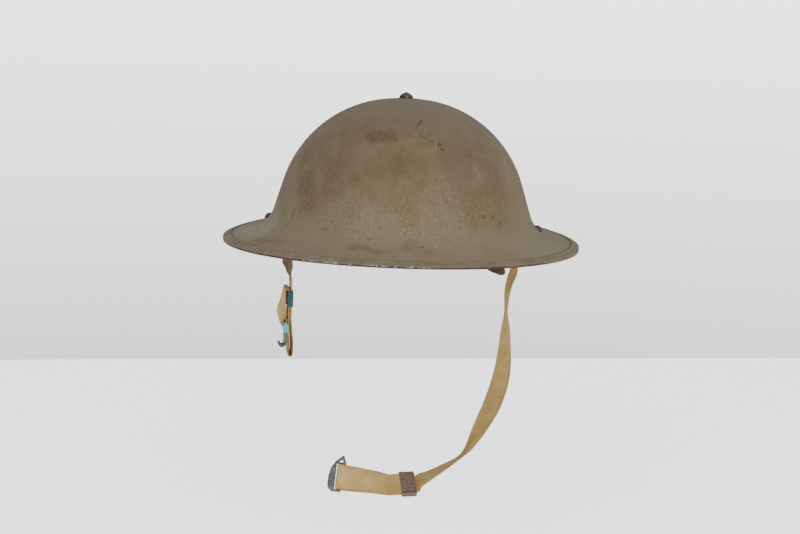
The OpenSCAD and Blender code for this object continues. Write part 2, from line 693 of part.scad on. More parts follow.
right_run = concat(
    [[wrap_r, 0, -10, 0, -1, 0], [wrap_r, 0, -5, 0, -1, 0]],
    round_bar(wrap_r, 90, -90, 8, -1),
    smooth_run(concat(
        [[-wrap_r, 0, -5, 0.05, -1, 0], [-2.6, -4, -16.2, 0.3, -0.95, 0.06],
         [-6.3, -8.3, -30.6, 0.25, -0.95, 0.21], [-6.9, -12.5, -47.6, 0.11, -0.96, 0.25],
         [-6.8, -16.8, -60.8, 0.34, -0.9, 0.27], [-6.7, -23.7, -75.8, 0.51, -0.81, 0.3],
         [-7.3, -32.2, -89, 0.66, -0.7, 0.25], [-9.5, -42, -100.8, 0.76, -0.6, 0.24],
         [-13.8, -53.5, -113.4, 0.77, -0.62, 0.17], [-18.3, -61.4, -122.2, 0.65, -0.75, 0.09],
         [-24.2, -69.6, -133.1, 0.47, -0.87, 0.13], [-29.9, -75.1, -142.6, 0.28, -0.93, 0.24],
         [-37.1, -78.1, -149.6, 0.03, -0.98, 0.17], [-46.9, -80.1, -156.3, 0.03, -1, 0.03],
         [-58.4, -81.7, -163.6, 0.04, -0.99, -0.14],
         [-64.3, -83, -166.6, 0.1, -0.955, -0.28]],
        [for (k = laid_k) laid(k)],
        [[-97.2, -90.8, -167.8, 0.13, -0.74, -0.66], [-110.1, -92.4, -165.9, 0.15, -0.7, -0.7],
         [-124, -94.4, -164.2, 0.13, -0.53, -0.84]]), 3));

run_n = len(right_run);
end_frame = frame_at(right_run, run_n - 1);
end_t = end_frame[1];
end_w = end_frame[2];
end_m = end_frame[3];
buckle_bar = end_frame[0] - end_m * bar_wrap_r;
// The turned-back layer starts as far behind as the bar needs and closes up over six stations
close_n = 6;
function behind(i) = let (u = min(1, (run_n - 1 - i) / close_n), e = u * u * (3 - 2 * u))
    2 * bar_wrap_r + (layer_step - 2 * bar_wrap_r) * e;
turned_back_n = 30;
turned_back = [for (i = [run_n - 2 : -1 : run_n - 1 - turned_back_n])
    let (f = frame_at(right_run, i), p = f[0] - f[3] * behind(i))
    [p[0], p[1], p[2], f[2][0], f[2][1], f[2][2]]];
end_fold = [for (i = [1 : 7])
    let (a = 180 * i / 8, p = buckle_bar + bar_wrap_r * (sin(a) * end_t + cos(a) * end_m))
    [p[0], p[1], p[2], end_w[0], end_w[1], end_w[2]]];
right_route = concat(right_run, end_fold, turned_back);

module right_strap() {
    color(webbing) translate(right_bar) ribbon(right_route, web_w, web_t);
}

// Moves its children so that X, Y and Z run along the given directions from a point
module on_frame(at, x, y, z) {
    multmatrix([[x[0], y[0], z[0], at[0]], [x[1], y[1], z[1], at[1]],
        [x[2], y[2], z[2], at[2]], [0, 0, 0, 1]]) children();
}

ear_back = 3.6;
ear_rise = 6;
ear_top = [-0.7, web_w / 2 + ear_rise];
laid_t = unit(laid_step);
keep_w = unit(laid_w - (laid_w * laid_t) * laid_t);
keep_m = cross(laid_t, keep_w);
keeper_k = 2.4;
keeper_at = xyz(laid(keeper_k)) - keep_m * layer_step / 2;

module strap_keeper() {
    color(keeper_brown) translate(right_bar) on_frame(keeper_at, keep_m, keep_w, -laid_t)
        sleeve(keeper_l, slot_t, slot_w, keeper_t);
}

// A straight stroke of a flat drawing, from a to b, with a knot at its far end
module stroke(a, b, r) {
    v = b - a;
    translate(a) rotate(atan2(v[1], v[0])) translate([-0.3, -r]) square([norm(v) + 0.3, 2 * r]);
    translate(b) circle(r = r + 0.15, $fn = plain);
}

// End buckle, with X away from the strap's end, Y up its width and Z out of its face: a bar in
// the webbing's fold, two arms, a rounded outer bar and a three-cornered ear above
module end_buckle() {
    arm_y = web_w / 2 + 0.5;
    arm_t = 1.3;
    outer_x0 = bar_wrap_r + web_t / 2 + 0.6;
    body_t = 3.2;
    stem_x0 = outer_x0 + ear_r;
    color(verdigris) translate(right_bar) on_frame(buckle_bar, end_t, -end_w, end_m) {
        translate([0, -arm_y - arm_t / 2, 0]) rotate([-90, 0, 0])
            cylinder(r = bar_r, h = 2 * arm_y + arm_t, $fn = plain);
        translate([-1.6, -arm_y - arm_t, -1.2]) cube([outer_x0 + 4, arm_t, 2.4]);
        translate([-ear_back, arm_y, -ear_r]) cube([ear_back + stem_x0 + ear_r, arm_t, 2 * ear_r]);
        translate([0, 0, -body_t / 2]) linear_extrude(body_t)
            translate([outer_x0, -arm_y - arm_t]) polygon([[0, 0.4], [2.2, 0.5], [4.2, 1.6], [5.3, 3.8],
                [5.7, 7.5], [5.5, 11.5], [5, 14.5], [4.3, 17.2], [3.4, 19.4], [2.1, 21], [0, 21]]);
        translate([0, 0, -ear_r]) linear_extrude(2 * ear_r) {
            translate([outer_x0, 0]) square([2 * ear_r, arm_y + arm_t / 2]);
            stroke([stem_x0 - 0.2, arm_y + arm_t - 0.4], ear_top, ear_r);
            stroke(ear_top, [-ear_back + ear_r, arm_y + arm_t - 0.4], ear_r);
        }
    }
}

// A leather tongue of the sweatband that has slipped out under the hoop at the front right. Its
// stations give the middle, the direction of the width, and the width, which ends on a slant.
tongue_w = 16.5;
tongue_route = smooth_run([
    [70.75, -46, 12, 0.405, 0.914, 0], [70.75, -46, 5.5, 0.405, 0.914, 0],
    [71.8, -46.2, -0.5, 0.5, 0.87, 0], [74.2, -46.6, -5.5, 0.65, 0.76, 0],
    [76.4, -47, -9.5, 0.77, 0.64, 0], [77.6, -47.3, -12.5, 0.8, 0.6, 0]], 3);
tongue_end = [[79.4, -46.7, -14.5, 0.8, 0.6, 0], [81.5, -45.6, -16.2, 0.8, 0.6, -0.04],
    [82, -45.6, -17.6, 0.8, 0.6, -0.08]];
tongue_end_w = [13.2, 8.4, 3.2];

module sweatband_tongue() {
    s = concat(tongue_route, tongue_end);
    n = len(s);
    whole = len(tongue_route);
    corners = [for (i = [0 : n - 1])
        let (along = xyz(s[min(i + 1, n - 1)]) - xyz(s[max(i - 1, 0)]),
            side = unit(across(s[i])) * (i < whole ? tongue_w : tongue_end_w[i - whole]) / 2,
            out = unit(cross(along, side)) * leather_t / 2, mid = xyz(s[i]))
        each [mid + side + out, mid + side - out, mid - side - out, mid - side + out]];
    color(leather) four_sided(corners, n);
}

shell();
rim_strip();
crown_dome_nut();
cap_washer();
felt_washer();
crown_bolt();
bolt_washer();
long_arm();
cross_arm();
liner_hoop();
liner_rivets();
sweatband();
sweatband_tongue();
crown_pad();
right_lug();
left_lug();
right_lug_rivet();
left_lug_rivet();
right_bail();
left_bail();
left_strap();
left_adjuster();
left_hook();
right_strap();
strap_keeper();
end_buckle();
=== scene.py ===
"""Wide-brimmed pressed steel helmet with its liner and two-part web chin strap, dressed over the
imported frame: sanded olive drab paint, a folded rim strip, woven cotton webbing, tarnished brass
fittings, and a leather liner. All places are in metres unless a name says millimetres."""
import bpy
import bmesh
import math
from mathutils import Matrix, Vector, noise


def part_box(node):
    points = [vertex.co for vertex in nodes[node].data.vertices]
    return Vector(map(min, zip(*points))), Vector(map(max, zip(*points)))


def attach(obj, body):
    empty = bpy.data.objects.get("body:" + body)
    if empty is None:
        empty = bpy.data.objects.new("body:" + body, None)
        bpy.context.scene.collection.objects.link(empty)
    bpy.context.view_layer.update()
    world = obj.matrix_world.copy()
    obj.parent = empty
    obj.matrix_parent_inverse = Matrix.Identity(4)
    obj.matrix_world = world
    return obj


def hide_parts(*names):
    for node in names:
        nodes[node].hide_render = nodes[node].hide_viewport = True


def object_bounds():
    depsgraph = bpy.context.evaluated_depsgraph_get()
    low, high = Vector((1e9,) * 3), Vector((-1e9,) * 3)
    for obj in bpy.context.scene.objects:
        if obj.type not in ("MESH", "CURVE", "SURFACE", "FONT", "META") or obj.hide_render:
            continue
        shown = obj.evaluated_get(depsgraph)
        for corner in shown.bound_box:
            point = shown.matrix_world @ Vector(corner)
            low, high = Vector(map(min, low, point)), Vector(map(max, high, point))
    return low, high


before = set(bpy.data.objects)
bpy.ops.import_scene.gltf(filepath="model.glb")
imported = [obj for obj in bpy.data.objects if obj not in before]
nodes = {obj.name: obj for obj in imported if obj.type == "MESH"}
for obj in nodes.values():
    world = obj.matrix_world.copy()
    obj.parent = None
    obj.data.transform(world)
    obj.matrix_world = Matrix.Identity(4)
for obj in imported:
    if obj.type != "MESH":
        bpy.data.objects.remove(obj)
cad_low, cad_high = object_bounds()
MM = 0.001

# The brim's shape, as in the source: it slopes by 18.2 degrees down to a rim that is one oval, and
# the bowl's outlines are ovals of another ratio
_, rim_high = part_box("rim_strip")
RIM_OUT = rim_high.x
RIM_RATIO = rim_high.y / rim_high.x
BOWL_RATIO = 1.135
BRIM_FALL = math.tan(math.radians(18.2))


# Camera, floor and light

def place_camera():
    """The photograph's viewpoint: 1 m away, a little above the brim and right of straight ahead."""
    position = Vector((0.09669, -0.97836, 0.14772))
    forward = Vector((-0.0972, 0.9804, -0.1711)).normalized()
    up = Vector((-0.0511, 0.1668, 0.9847))
    right = forward.cross(up).normalized()
    up = right.cross(forward)
    data = bpy.data.cameras.new("view")
    data.sensor_width = 36
    data.lens = 55.8
    made = bpy.data.objects.new("view", data)
    bpy.context.collection.objects.link(made)
    made.matrix_world = Matrix.Translation(position) @ Matrix((
        (right.x, up.x, -forward.x, 0), (right.y, up.y, -forward.y, 0),
        (right.z, up.z, -forward.z, 0), (0, 0, 0, 1)))
    bpy.context.scene.camera = made


def soft_light(name, place, size, power, colour):
    """A square softbox that faces the helmet."""
    data = bpy.data.lights.new(name, "AREA")
    data.shape = "SQUARE"
    data.size = size
    data.energy = power
    data.color = colour
    made = bpy.data.objects.new(name, data)
    bpy.context.collection.objects.link(made)
    made.location = place
    aim = Vector((0, 0, 0)) - Vector(place)
    made.rotation_mode = "QUATERNION"
    made.rotation_quaternion = aim.to_track_quat("-Z", "Y")


# Shader nodes

def linear(code):
    """An sRGB hex value as linear red, green, blue and 1."""
    out = []
    for i in (1, 3, 5):
        c = int(code[i:i + 2], 16) / 255
        out.append(c / 12.92 if c <= 0.04045 else ((c + 0.055) / 1.055) ** 2.4)
    return (*out, 1.0)


def add(tree, kind, links=None, stops=(), out=0, **settings):
    """Adds a shader node with its settings, its colour stops, and its links or input values. It
    gives the output of that number or name, or all of them where out is None."""
    made = tree.nodes.new("ShaderNode" + kind)
    for name, value in settings.items():
        setattr(made, name, value)
    if stops:
        ramp = made.color_ramp.elements
        while len(ramp) < len(stops):
            ramp.new(0.5)
        for element, (at, shade) in zip(ramp, stops):
            element.position = at
            element.color = linear(shade)
    for socket, source in (links or {}).items():
        if isinstance(source, bpy.types.NodeSocket):
            tree.links.new(source, made.inputs[socket])
        else:
            made.inputs[socket].default_value = linear(source) if isinstance(source, str) else source
    return made.outputs if out is None else made.outputs[out]


def blank_finish(name, roughness, metallic=0.0, sheen=0.0, sheen_colour="#ffffff", specular=0.5):
    """A new material with its constants on the shader's own sockets."""
    made = bpy.data.materials.new(name)
    made.use_nodes = True
    shader = made.node_tree.nodes["Principled BSDF"]
    shader.inputs["Roughness"].default_value = roughness
    shader.inputs["Metallic"].default_value = metallic
    shader.inputs["Specular IOR Level"].default_value = specular
    shader.inputs["Sheen Weight"].default_value = sheen
    shader.inputs["Sheen Roughness"].default_value = 0.5
    shader.inputs["Sheen Tint"].default_value = linear(sheen_colour)
    return made, made.node_tree, shader


def join(tree, shader, patterns):
    """Links each pattern to the shader's socket of that name."""
    for socket, pattern in patterns.items():
        tree.links.new(pattern, shader.inputs[socket])


def grains(place, size_mm, detail=3.0, rough=0.55, warp=0.0):
    """What soft noise needs to show grains of about that many millimetres."""
    return {"Vector": place, "Scale": 1 / (size_mm * MM), "Detail": detail, "Roughness": rough,
            "Distortion": warp}


def where_all(tree, first, *others):
    """Where every one of the masks holds, each as strongly as its share."""
    for other in others:
        first = add(tree, "Math", {0: first, 1: other}, operation="MULTIPLY")
    return first


def mask(tree, value, low, high, *others, start=0.0, end=1.0):
    """A mask that eases from start where value is low to end where it is high, within the others."""
    eased = add(tree, "MapRange", {0: value, 1: low, 2: high, 3: start, 4: end},
                interpolation_type="SMOOTHSTEP")
    return where_all(tree, eased, *others)


def over(tree, below, above, *shares):
    """The colour above laid over the colour below, where every one of the shares holds."""
    return add(tree, "Mix", {0: where_all(tree, *shares), 6: below, 7: above}, out=2, data_type="RGBA")


def mark(tree, place, start_mm, end_mm, half_mm, soft_mm):
    """1 within half_mm of the line between two places, easing to 0 over soft_mm more."""
    start = Vector(start_mm) * MM
    way = Vector(end_mm) * MM - start
    if start_mm == end_mm:
        gap = add(tree, "VectorMath", {0: place, 1: start}, out=1, operation="DISTANCE")
    else:
        away = add(tree, "VectorMath", {0: place, 1: start}, operation="SUBTRACT")
        along = add(tree, "VectorMath", {0: away, 1: way / way.length_squared}, out=1,
                    operation="DOT_PRODUCT")
        held = add(tree, "Clamp", {0: along})
        foot = add(tree, "VectorMath", {0: way, "Scale": held}, operation="SCALE")
        gap = add(tree, "VectorMath", {0: away, 1: foot}, out=1, operation="DISTANCE")
    return mask(tree, gap, half_mm * MM, (half_mm + soft_mm) * MM, start=1.0, end=0.0)


def swayed(tree, spot, place, waves, detail, reach):
    """The place, shifted by up to half of reach by noise of so many waves a metre."""
    sway = add(tree, "TexNoise", {"Vector": spot, "Scale": waves, "Detail": detail}, out=1)
    shift = add(tree, "VectorMath", {0: sway, 1: (0.5, 0.5, 0.5)}, operation="SUBTRACT")
    return add(tree, "VectorMath", {0: shift, 1: (reach, reach, reach), 2: place},
               operation="MULTIPLY_ADD")


def out_from_axis(tree, spot, ratio):
    """Distance from the upright axis, in which an oval of that ratio counts as a circle."""
    flat = add(tree, "VectorMath", {0: spot, 1: (1, 1 / ratio, 0)}, operation="MULTIPLY")
    return add(tree, "VectorMath", {0: flat}, out=1, operation="LENGTH")


def rim_line(tree, reach, inner_mm, outer_mm):
    """A line round the brim: it comes in over inner_mm and goes over outer_mm, measured inwards
    from the rim's edge."""
    inner = [RIM_OUT - mm * MM for mm in inner_mm]
    outer = [RIM_OUT - mm * MM for mm in outer_mm]
    return mask(tree, reach, *inner, mask(tree, reach, *outer))


# Finishes

# Marks on the shell, in millimetres: stains, darker patches on the left flank, and painted sheen on the
# crown. Each is a line between two places, its half width, its softness, its strength and its colour,
# and each scuff is the same without a colour
SHELL_STAINS_AND_PAINTED_SHEEN = (
    # Painted sheen: the crown paler and greyer
    ((4, -43, 106), (22, -42, 104), 16, 34, 0.6, "#7d7266"),
    ((-50, 20, 100), (10, 50, 100), 10, 30, 0.4, "#766b5e"),
    ((-133, -29, 2), (-103, -49, 10), 12, 18, 0.85, "#9b9485"),
    ((100, -80, 8), (120, -40, 8), 8, 16, 0.4, "#978c76"),
    ((-120, -60, 4), (-136, -20, 1), 2, 8, 0.3, "#857772"),
    ((89, -35, 47), (95, -36, 28), 6, 20, 0.4, "#877550"),
    ((-28, -107, 35), (-6, -114, 27), 7, 16, 0.4, "#8d8373"),
    ((33, -98, 51), (43, -102, 29), 7, 18, 0.4, "#8b806e"),
    ((59, -71, 65), (64, -72, 58), 0.5, 5, 0.4, "#918560"),
    # The next two darken the upper and middle left flank
    ((-68, -58, 70), (-58, -74, 60), 7, 18, 0.6, "#605039"),
    ((-41, -98, 44), (-30, -104, 36), 4, 12, 0.3, "#685844"),
    ((-64, -78, 49), (-62, -86, 37), 3, 15, 0.6, "#5a4935"),
    ((-43, -89, 60), (-43, -94, 49), 5, 8, 0.55, "#645347"),
    ((-37, -80, 75), (-41, -86, 65), 4, 13, 0.45, "#62513c"),
    ((-16, -98, 62), (-6, -101, 60), 0.5, 6, 0.4, "#64533b"),
    ((3, -94, 71), (18, -97, 63), 6, 14, 0.4, "#6a5939"),
    ((8, -89, 76), (10, -100, 60), 1, 8, 0.4, "#625233"),
    ((-16, -78, 86), (-5, -78, 87), 2.5, 7, 0.85, "#4d3f27"),
    ((-30, -60, 93), (6, -66, 93), 4, 12, 0.35, "#6b5b3d"),
    ((-74, -77, 28), (-74, -80, 23), 1.3, 2.5, 0.7, "#56463d"),
    ((-76, -79, 20), (-93, -93, 6), 0.6, 4.5, 0.6, "#62523c"),
    ((-100, -83, 6), (-81, -100, 7), 2, 9, 0.5, "#65553d"),
    ((-22, -124, 10), (-12, -126, 11), 1, 5, 0.7, "#55472e"),
    ((-10, -128, 10), (-2, -129, 9), 0.5, 5, 0.5, "#5b4c35"),
    ((18, -121, 13), (28, -123, 10), 2, 7, 0.5, "#60503b"),
    ((72, -58, 62), (77, -62, 46), 3, 13, 0.5, "#65563a"),
    ((60, -88, 34), (80, -68, 28), 3, 15, 0.4, "#6b5d38"),
    ((69, -99, 10), (70, -99, 10), 2.5, 4, 0.35, "#74664c"),
    ((30, 104, 60), (12, 112, 46), 6, 16, 0.5, "#5b4a36"),
    ((-60, 74, 64), (-70, 70, 48), 4, 14, 0.5, "#62513c"),
    ((98, 30, 34), (103, 44, 22), 4, 12, 0.5, "#5e4d38"),
    ((-20, 118, 30), (-40, 110, 30), 6, 18, 0.4, "#8b806e"),
    ((66, 62, 60), (60, 78, 48), 5, 14, 0.4, "#685739"))
SHELL_SCUFFS = (
    ((19, -73, 88), (38, -79, 76), 2.5, 5, 1.0), ((-28, -107, 35), (-6, -114, 27), 8, 18, 0.5),
    ((12, -109, 39), (17, -114, 22), 4, 12, 0.6), ((33, -98, 51), (43, -102, 29), 8, 18, 0.55),
    ((58, -88, 34), (82, -66, 28), 3, 19, 0.6), ((-42, -103, 29), (-16, -115, 22), 5, 14, 0.5),
    ((30, 108, 50), (-20, 116, 38), 10, 24, 0.42), ((-92, 20, 46), (-96, 34, 30), 6, 20, 0.4),
    ((70, 50, 74), (80, 46, 62), 3, 10, 0.7))
# Dark pocks, each a place, its half width and its softness, and places of pale nicks
SHELL_POCKS = (
    ((21, -75, 87), 0.54, 1.92), ((33, -75, 82), 0.72, 2.24), ((35, -78, 78), 0.36, 1.6),
    ((68, -82, 31), 0.42, 1.92), ((74, -75, 31), 0.36, 1.6), ((80, -70, 26), 0.36, 1.92),
    ((97, -79, 8), 0.3, 0.8), ((45, -104, 21), 0.3, 0.8), ((25, -130, 8), 0.3, 1.44),
    ((27, -119, 13), 0.3, 1.44), ((-100, 60, 12), 0.3, 0.8), ((30, 124, 18), 0.36, 0.96))
SHELL_NICKS = ((72, -59, 61), (114, -34, 8), (36, -115, 13), (-60, 66, 62), (14, 104, 60))
LONG_SCRATCH = ((15, -67, 93), (18, -58, 98), 0.32, 0.3)


def weathered_tones(tree, place, height):
    """Brown patches against greener ones, paler low down with dust and painted light from
    below, and the mottle's noise.
    """
    broad = add(tree, "ValToRGB", {0: add(tree, "TexNoise", grains(place, 46, 3.0, 0.5))},
                stops=((0.32, "#6f5e48"), (0.47, "#77684f"), (0.6, "#7d6c53"), (0.72, "#807358")))
    mottle = add(tree, "TexNoise", grains(place, 13, 5.0, 0.65))
    mottled = add(tree, "ValToRGB", {0: mottle},
                  stops=((0.3, "#645438"), (0.42, "#726248"), (0.58, "#7b6b52"), (0.7, "#897d65")))
    colour = over(tree, broad, mottled, 0.5)
    # Paler low down: dust, and painted light where bounce from the floor falls
    return over(tree, colour, "#958970", mask(tree, height, 0.05, 0.008), 0.55), mottle


def stains_and_painted_sheen(tree, place, colour, mottle):
    """Stains, paler ground and painted sheen, broken up by the mottle and by grains of about 3 mm."""
    crumbs = add(tree, "TexNoise", grains(place, 3.4, 4.0, 0.65))
    broken = mask(tree, crumbs, 0.6, 0.38, start=0.45)
    uneven = mask(tree, mottle, 0.66, 0.36, broken, start=0.6, end=1.1)
    for start, end, half, soft, strength, shade in SHELL_STAINS_AND_PAINTED_SHEEN:
        colour = over(tree, colour, shade, mark(tree, place, start, end, half, soft), strength, uneven)
    return colour


def flaked(tree, place, flecks, colour):
    """Scuffed ground: greenish yellow primer flecks with dark pits between."""
    scuffed = 0.0
    for start, end, half, soft, strength in SHELL_SCUFFS:
        area = where_all(tree, mark(tree, place, start, end, half, soft), strength)
        scuffed = add(tree, "Math", {0: scuffed, 1: area}, operation="MAXIMUM")
    colour = over(tree, colour, "#a1966a", mask(tree, flecks, 0.55, 0.66, scuffed), 0.8)
    return over(tree, colour, "#493d27", mask(tree, flecks, 0.46, 0.36, scuffed), 0.85)


def gritty(tree, spot, height, colour):
    """Single pale grains over the whole shell, thicker on the lower half, and dark ones between."""
    grit = add(tree, "TexNoise", grains(spot, 0.95, 2.0, 0.6))
    thicker = mask(tree, height, 0.07, 0.025, start=0.2, end=0.75)
    colour = over(tree, colour, "#a89f86", mask(tree, grit, 0.67, 0.74), thicker)
    return over(tree, colour, "#55493a", mask(tree, grit, 0.33, 0.26), 0.5)


def knocked(tree, spot, scratch, colour):
    """The one long scratch, ragged pocks, pale nicks, and dirt with painted shade against the rim strip."""
    colour = over(tree, colour, "#28221a", scratch, 0.9)
    ragged = swayed(tree, spot, spot, 700, 2.0, 0.0028)
    for at, half, soft in SHELL_POCKS:
        colour = over(tree, colour, "#3f3526", mark(tree, ragged, at, at, half, soft), 0.55)
    for at in SHELL_NICKS:
        colour = over(tree, colour, "#c6bca2", mark(tree, spot, at, at, 0.35, 0.45), 0.9)
    reach = out_from_axis(tree, spot, RIM_RATIO)
    # A dark line where the shell meets the rim strip: painted shade along the step, with dirt
    return over(tree, colour, "#4c4031", rim_line(tree, reach, (8.6, 7.2), (5.5, 6.0)), 0.5)


def sanded_paint():
    """Drab enamel thrown over with fine sand and sprayed again, which gives a dead matte, gritty
    olive brown that looks greyer where it is seen along the surface. Grit is about 0.8 mm, and
    the broad tones are 13 to 46 mm across, as weather left them."""
    finish, tree, shader = blank_finish("sanded_drab_enamel", 0.86, sheen=0.18,
                                        sheen_colour="#c9c8c4", specular=0.25)
    spot = add(tree, "TexCoord", out="Object")
    place = spot
    for waves, reach in ((55, 0.012), (260, 0.005)):
        place = swayed(tree, spot, place, waves, 3.0, reach)
    height = add(tree, "SeparateXYZ", {0: spot}, out=2)
    flecks = add(tree, "TexNoise", grains(spot, 2.1, 4.0, 0.7, 0.8))
    scratch = mark(tree, spot, *LONG_SCRATCH)
    colour, mottle = weathered_tones(tree, place, height)
    colour = stains_and_painted_sheen(tree, place, colour, mottle)
    colour = flaked(tree, place, flecks, colour)
    colour = gritty(tree, spot, height, colour)
    colour = knocked(tree, spot, scratch, colour)
    # The surface itself: sand grains on slow waves of brushed paint
    fine = add(tree, "TexNoise", grains(spot, 0.8, 3.0, 0.6))
    coarse = add(tree, "TexNoise", grains(spot, 2.6, 2.0, 0.5))
    sandy = add(tree, "Math", {0: coarse, 1: 0.8, 2: fine}, operation="MULTIPLY_ADD")
    dug = add(tree, "Math", {0: scratch, 1: -1.2, 2: sandy}, operation="MULTIPLY_ADD")
    join(tree, shader, {
        "Base Color": colour, "Roughness": mask(tree, flecks, 0.3, 0.7, start=0.78, end=0.94),
        "Normal": add(tree, "Bump", {"Strength": 0.5, "Distance": 0.0006, "Height": dug})})
    return finish


def worn_rim_paint():
    """The same drab over a folded steel strip: dark brown along its lower corner with dirt and painted
    shade, a painted shade line along its fold, rubbed to a thin bright line of metal at the front,
    where the helmet is set down. The rubbed dashes are about 3 mm long."""
    finish, tree, shader = blank_finish("worn_rim_enamel", 0.7, sheen=0.15, sheen_colour="#c9c4b8",
                                        specular=0.3)
    spot = add(tree, "TexCoord", out="Object")
    x, y, z = add(tree, "SeparateXYZ", {0: spot}, out=None)
    reach = out_from_axis(tree, spot, RIM_RATIO)
    # Height on the strip: 0 at its upper corner, about -2.3 mm at its lower one
    round_bowl = out_from_axis(tree, spot, BOWL_RATIO)
    on_strip = add(tree, "Math", {0: round_bowl, 1: BRIM_FALL, 2: z}, operation="MULTIPLY_ADD")
    upper_corner = RIM_OUT * BRIM_FALL + 0.95 * MM
    rise = add(tree, "Math", {0: on_strip, 1: upper_corner}, operation="SUBTRACT")

    # Drab on top, with a mauve bloom at the edge, and dirt with painted shade low on the outer side
    blotch = add(tree, "TexNoise", grains(spot, 9, 4.0, 0.6))
    top = add(tree, "ValToRGB", {0: blotch},
              stops=((0.3, "#75674f"), (0.5, "#867961"), (0.72, "#968b76")))
    side = add(tree, "ValToRGB", {0: blotch},
               stops=((0.3, "#352825"), (0.52, "#4a3a35"), (0.75, "#62514a")))
    between_ends = mask(tree, x, 0.128, 0.095, mask(tree, x, -0.134, -0.12))
    dirt_and_shade = add(tree, "Math", {0: between_ends, 1: 0.7, 2: 0.3}, operation="MULTIPLY_ADD")
    edge = mask(tree, reach, RIM_OUT - 0.0016, RIM_OUT - 0.0002)
    colour = over(tree, top, "#65544c", edge, 0.5)
    colour = over(tree, colour, side, mask(tree, rise, -0.0005, -0.0011, dirt_and_shade))
    # A darker line along the fold: painted shade in its groove, which the bump also sinks
    fold = rim_line(tree, reach, (3.6, 3.1), (2.4, 2.9))
    colour = over(tree, colour, "#5c5040", fold, 0.45)

    # Bare metal in dashes, which run together at the very front
    front = mask(tree, y, -0.12, -0.141, mask(tree, x, 0.075, 0.02))
    drawn_out = add(tree, "VectorMath", {0: spot, 1: (0.45, 0.45, 1.6)}, operation="MULTIPLY")
    speck = add(tree, "TexNoise", grains(drawn_out, 1.5, 3.0, 0.7))
    limit = add(tree, "Math", {0: front, 1: -0.17, 2: 0.7}, operation="MULTIPLY_ADD")
    above = add(tree, "Math", {0: speck, 1: limit}, operation="SUBTRACT")
    middle = mask(tree, rise, -0.0005, -0.0009, mask(tree, rise, -0.0017, -0.0012))
    rubbed = mask(tree, above, 0.0, 0.05, middle, front)
    colour = over(tree, colour, "#b7ada6", rubbed)
    sand = add(tree, "TexNoise", grains(spot, 0.8))
    height = add(tree, "Math", {0: fold, 1: -1.5, 2: sand}, operation="MULTIPLY_ADD")
    join(tree, shader, {
        "Base Color": colour, "Metallic": where_all(tree, rubbed, 0.6),
        "Roughness": mask(tree, rubbed, 0.0, 1.0, start=0.72, end=0.35),
        "Normal": add(tree, "Bump", {"Strength": 0.4, "Distance": 0.0004, "Height": height})})
    return finish


def browned_steel(name, dark, mid, pale, roughness):
    """Chemically browned steel, handled for years: dark in its hollows, with a dull oily gloss and
    a paler bronze where it was rubbed. Its pitting is about 0.6 mm."""
    finish, tree, shader = blank_finish(name, roughness, metallic=0.75)
    spot = add(tree, "TexCoord", out="Object")
    cloud = add(tree, "TexNoise", grains(spot, 4.5, 3.0, 0.5))
    pitting = add(tree, "TexNoise", grains(spot, 0.6))
    join(tree, shader, {
        "Base Color": add(tree, "ValToRGB", {0: cloud}, stops=((0.3, dark), (0.52, mid), (0.8, pale))),
        "Roughness": mask(tree, cloud, 0.3, 0.7, start=roughness + 0.12, end=roughness - 0.08),
        "Normal": add(tree, "Bump", {"Strength": 0.12, "Distance": 0.0002, "Height": pitting})})
    return finish


def japanned_steel():
    """Spring steel dipped in black japan, rubbed brown along its edges, with an uneven low gloss
    and freckles of rust about 1.6 mm across."""
    finish, tree, shader = blank_finish("japanned_spring_steel", 0.42)
    spot = add(tree, "TexCoord", out="Object")
    cloud = add(tree, "TexNoise", grains(spot, 11, 4.0, 0.6))
    colour = add(tree, "ValToRGB", {0: cloud},
                 stops=((0.3, "#1f1d1b"), (0.55, "#2f2b27"), (0.72, "#4a4036")))
    freckles = add(tree, "TexNoise", grains(spot, 1.6, 3.0, 0.7))
    lumps = add(tree, "TexNoise", grains(spot, 1.2))
    join(tree, shader, {
        "Base Color": over(tree, colour, "#6a4a30", mask(tree, freckles, 0.64, 0.72), 0.7),
        "Roughness": mask(tree, cloud, 0.3, 0.7, start=0.34, end=0.6),
        "Normal": add(tree, "Bump", {"Strength": 0.25, "Distance": 0.0003, "Height": lumps})})
    return finish


def tarnished_brass(name, metal, powder, crust_from, crust_to, roughness=0.55, grime_and_shade=()):
    """Cast brass left damp: brown metal under a powdery blue-green crust that gathers in patches.
    metal and powder are a dark and a pale tone each, and the crust closes between two levels of
    the noise. Each dark line, grime on the hook and painted shade under the keeper, has two places,
    half width, softness, strength and colour."""
    finish, tree, shader = blank_finish(name, roughness, metallic=0.25, specular=0.4)
    spot = add(tree, "TexCoord", out="Object")
    crust = mask(tree, add(tree, "TexNoise", grains(spot, 5.5, 4.0, 0.65)), crust_from, crust_to)
    bare = add(tree, "ValToRGB", {0: add(tree, "TexNoise", grains(spot, 2.2, 3.0, 0.6))},
               stops=((0.3, metal[0]), (0.68, metal[1])))
    powdery = add(tree, "ValToRGB", {0: add(tree, "TexNoise", grains(spot, 1.1, 3.0, 0.7))},
                  stops=((0.3, powder[0]), (0.7, powder[1])))
    colour = over(tree, bare, powdery, crust)
    for start, end, half, soft, strength, shade in grime_and_shade:
        colour = over(tree, colour, shade, mark(tree, spot, start, end, half, soft), strength)
    pitting = add(tree, "TexNoise", grains(spot, 0.7))
    height = add(tree, "Math", {0: pitting, 1: crust}, operation="ADD")
    join(tree, shader, {
        "Base Color": colour, "Metallic": mask(tree, crust, 0.0, 1.0, start=0.35, end=0.0),
        "Roughness": mask(tree, crust, 0.0, 1.0, start=roughness - 0.12, end=0.9),
        "Normal": add(tree, "Bump", {"Strength": 0.35, "Distance": 0.0003, "Height": height})})
    return finish
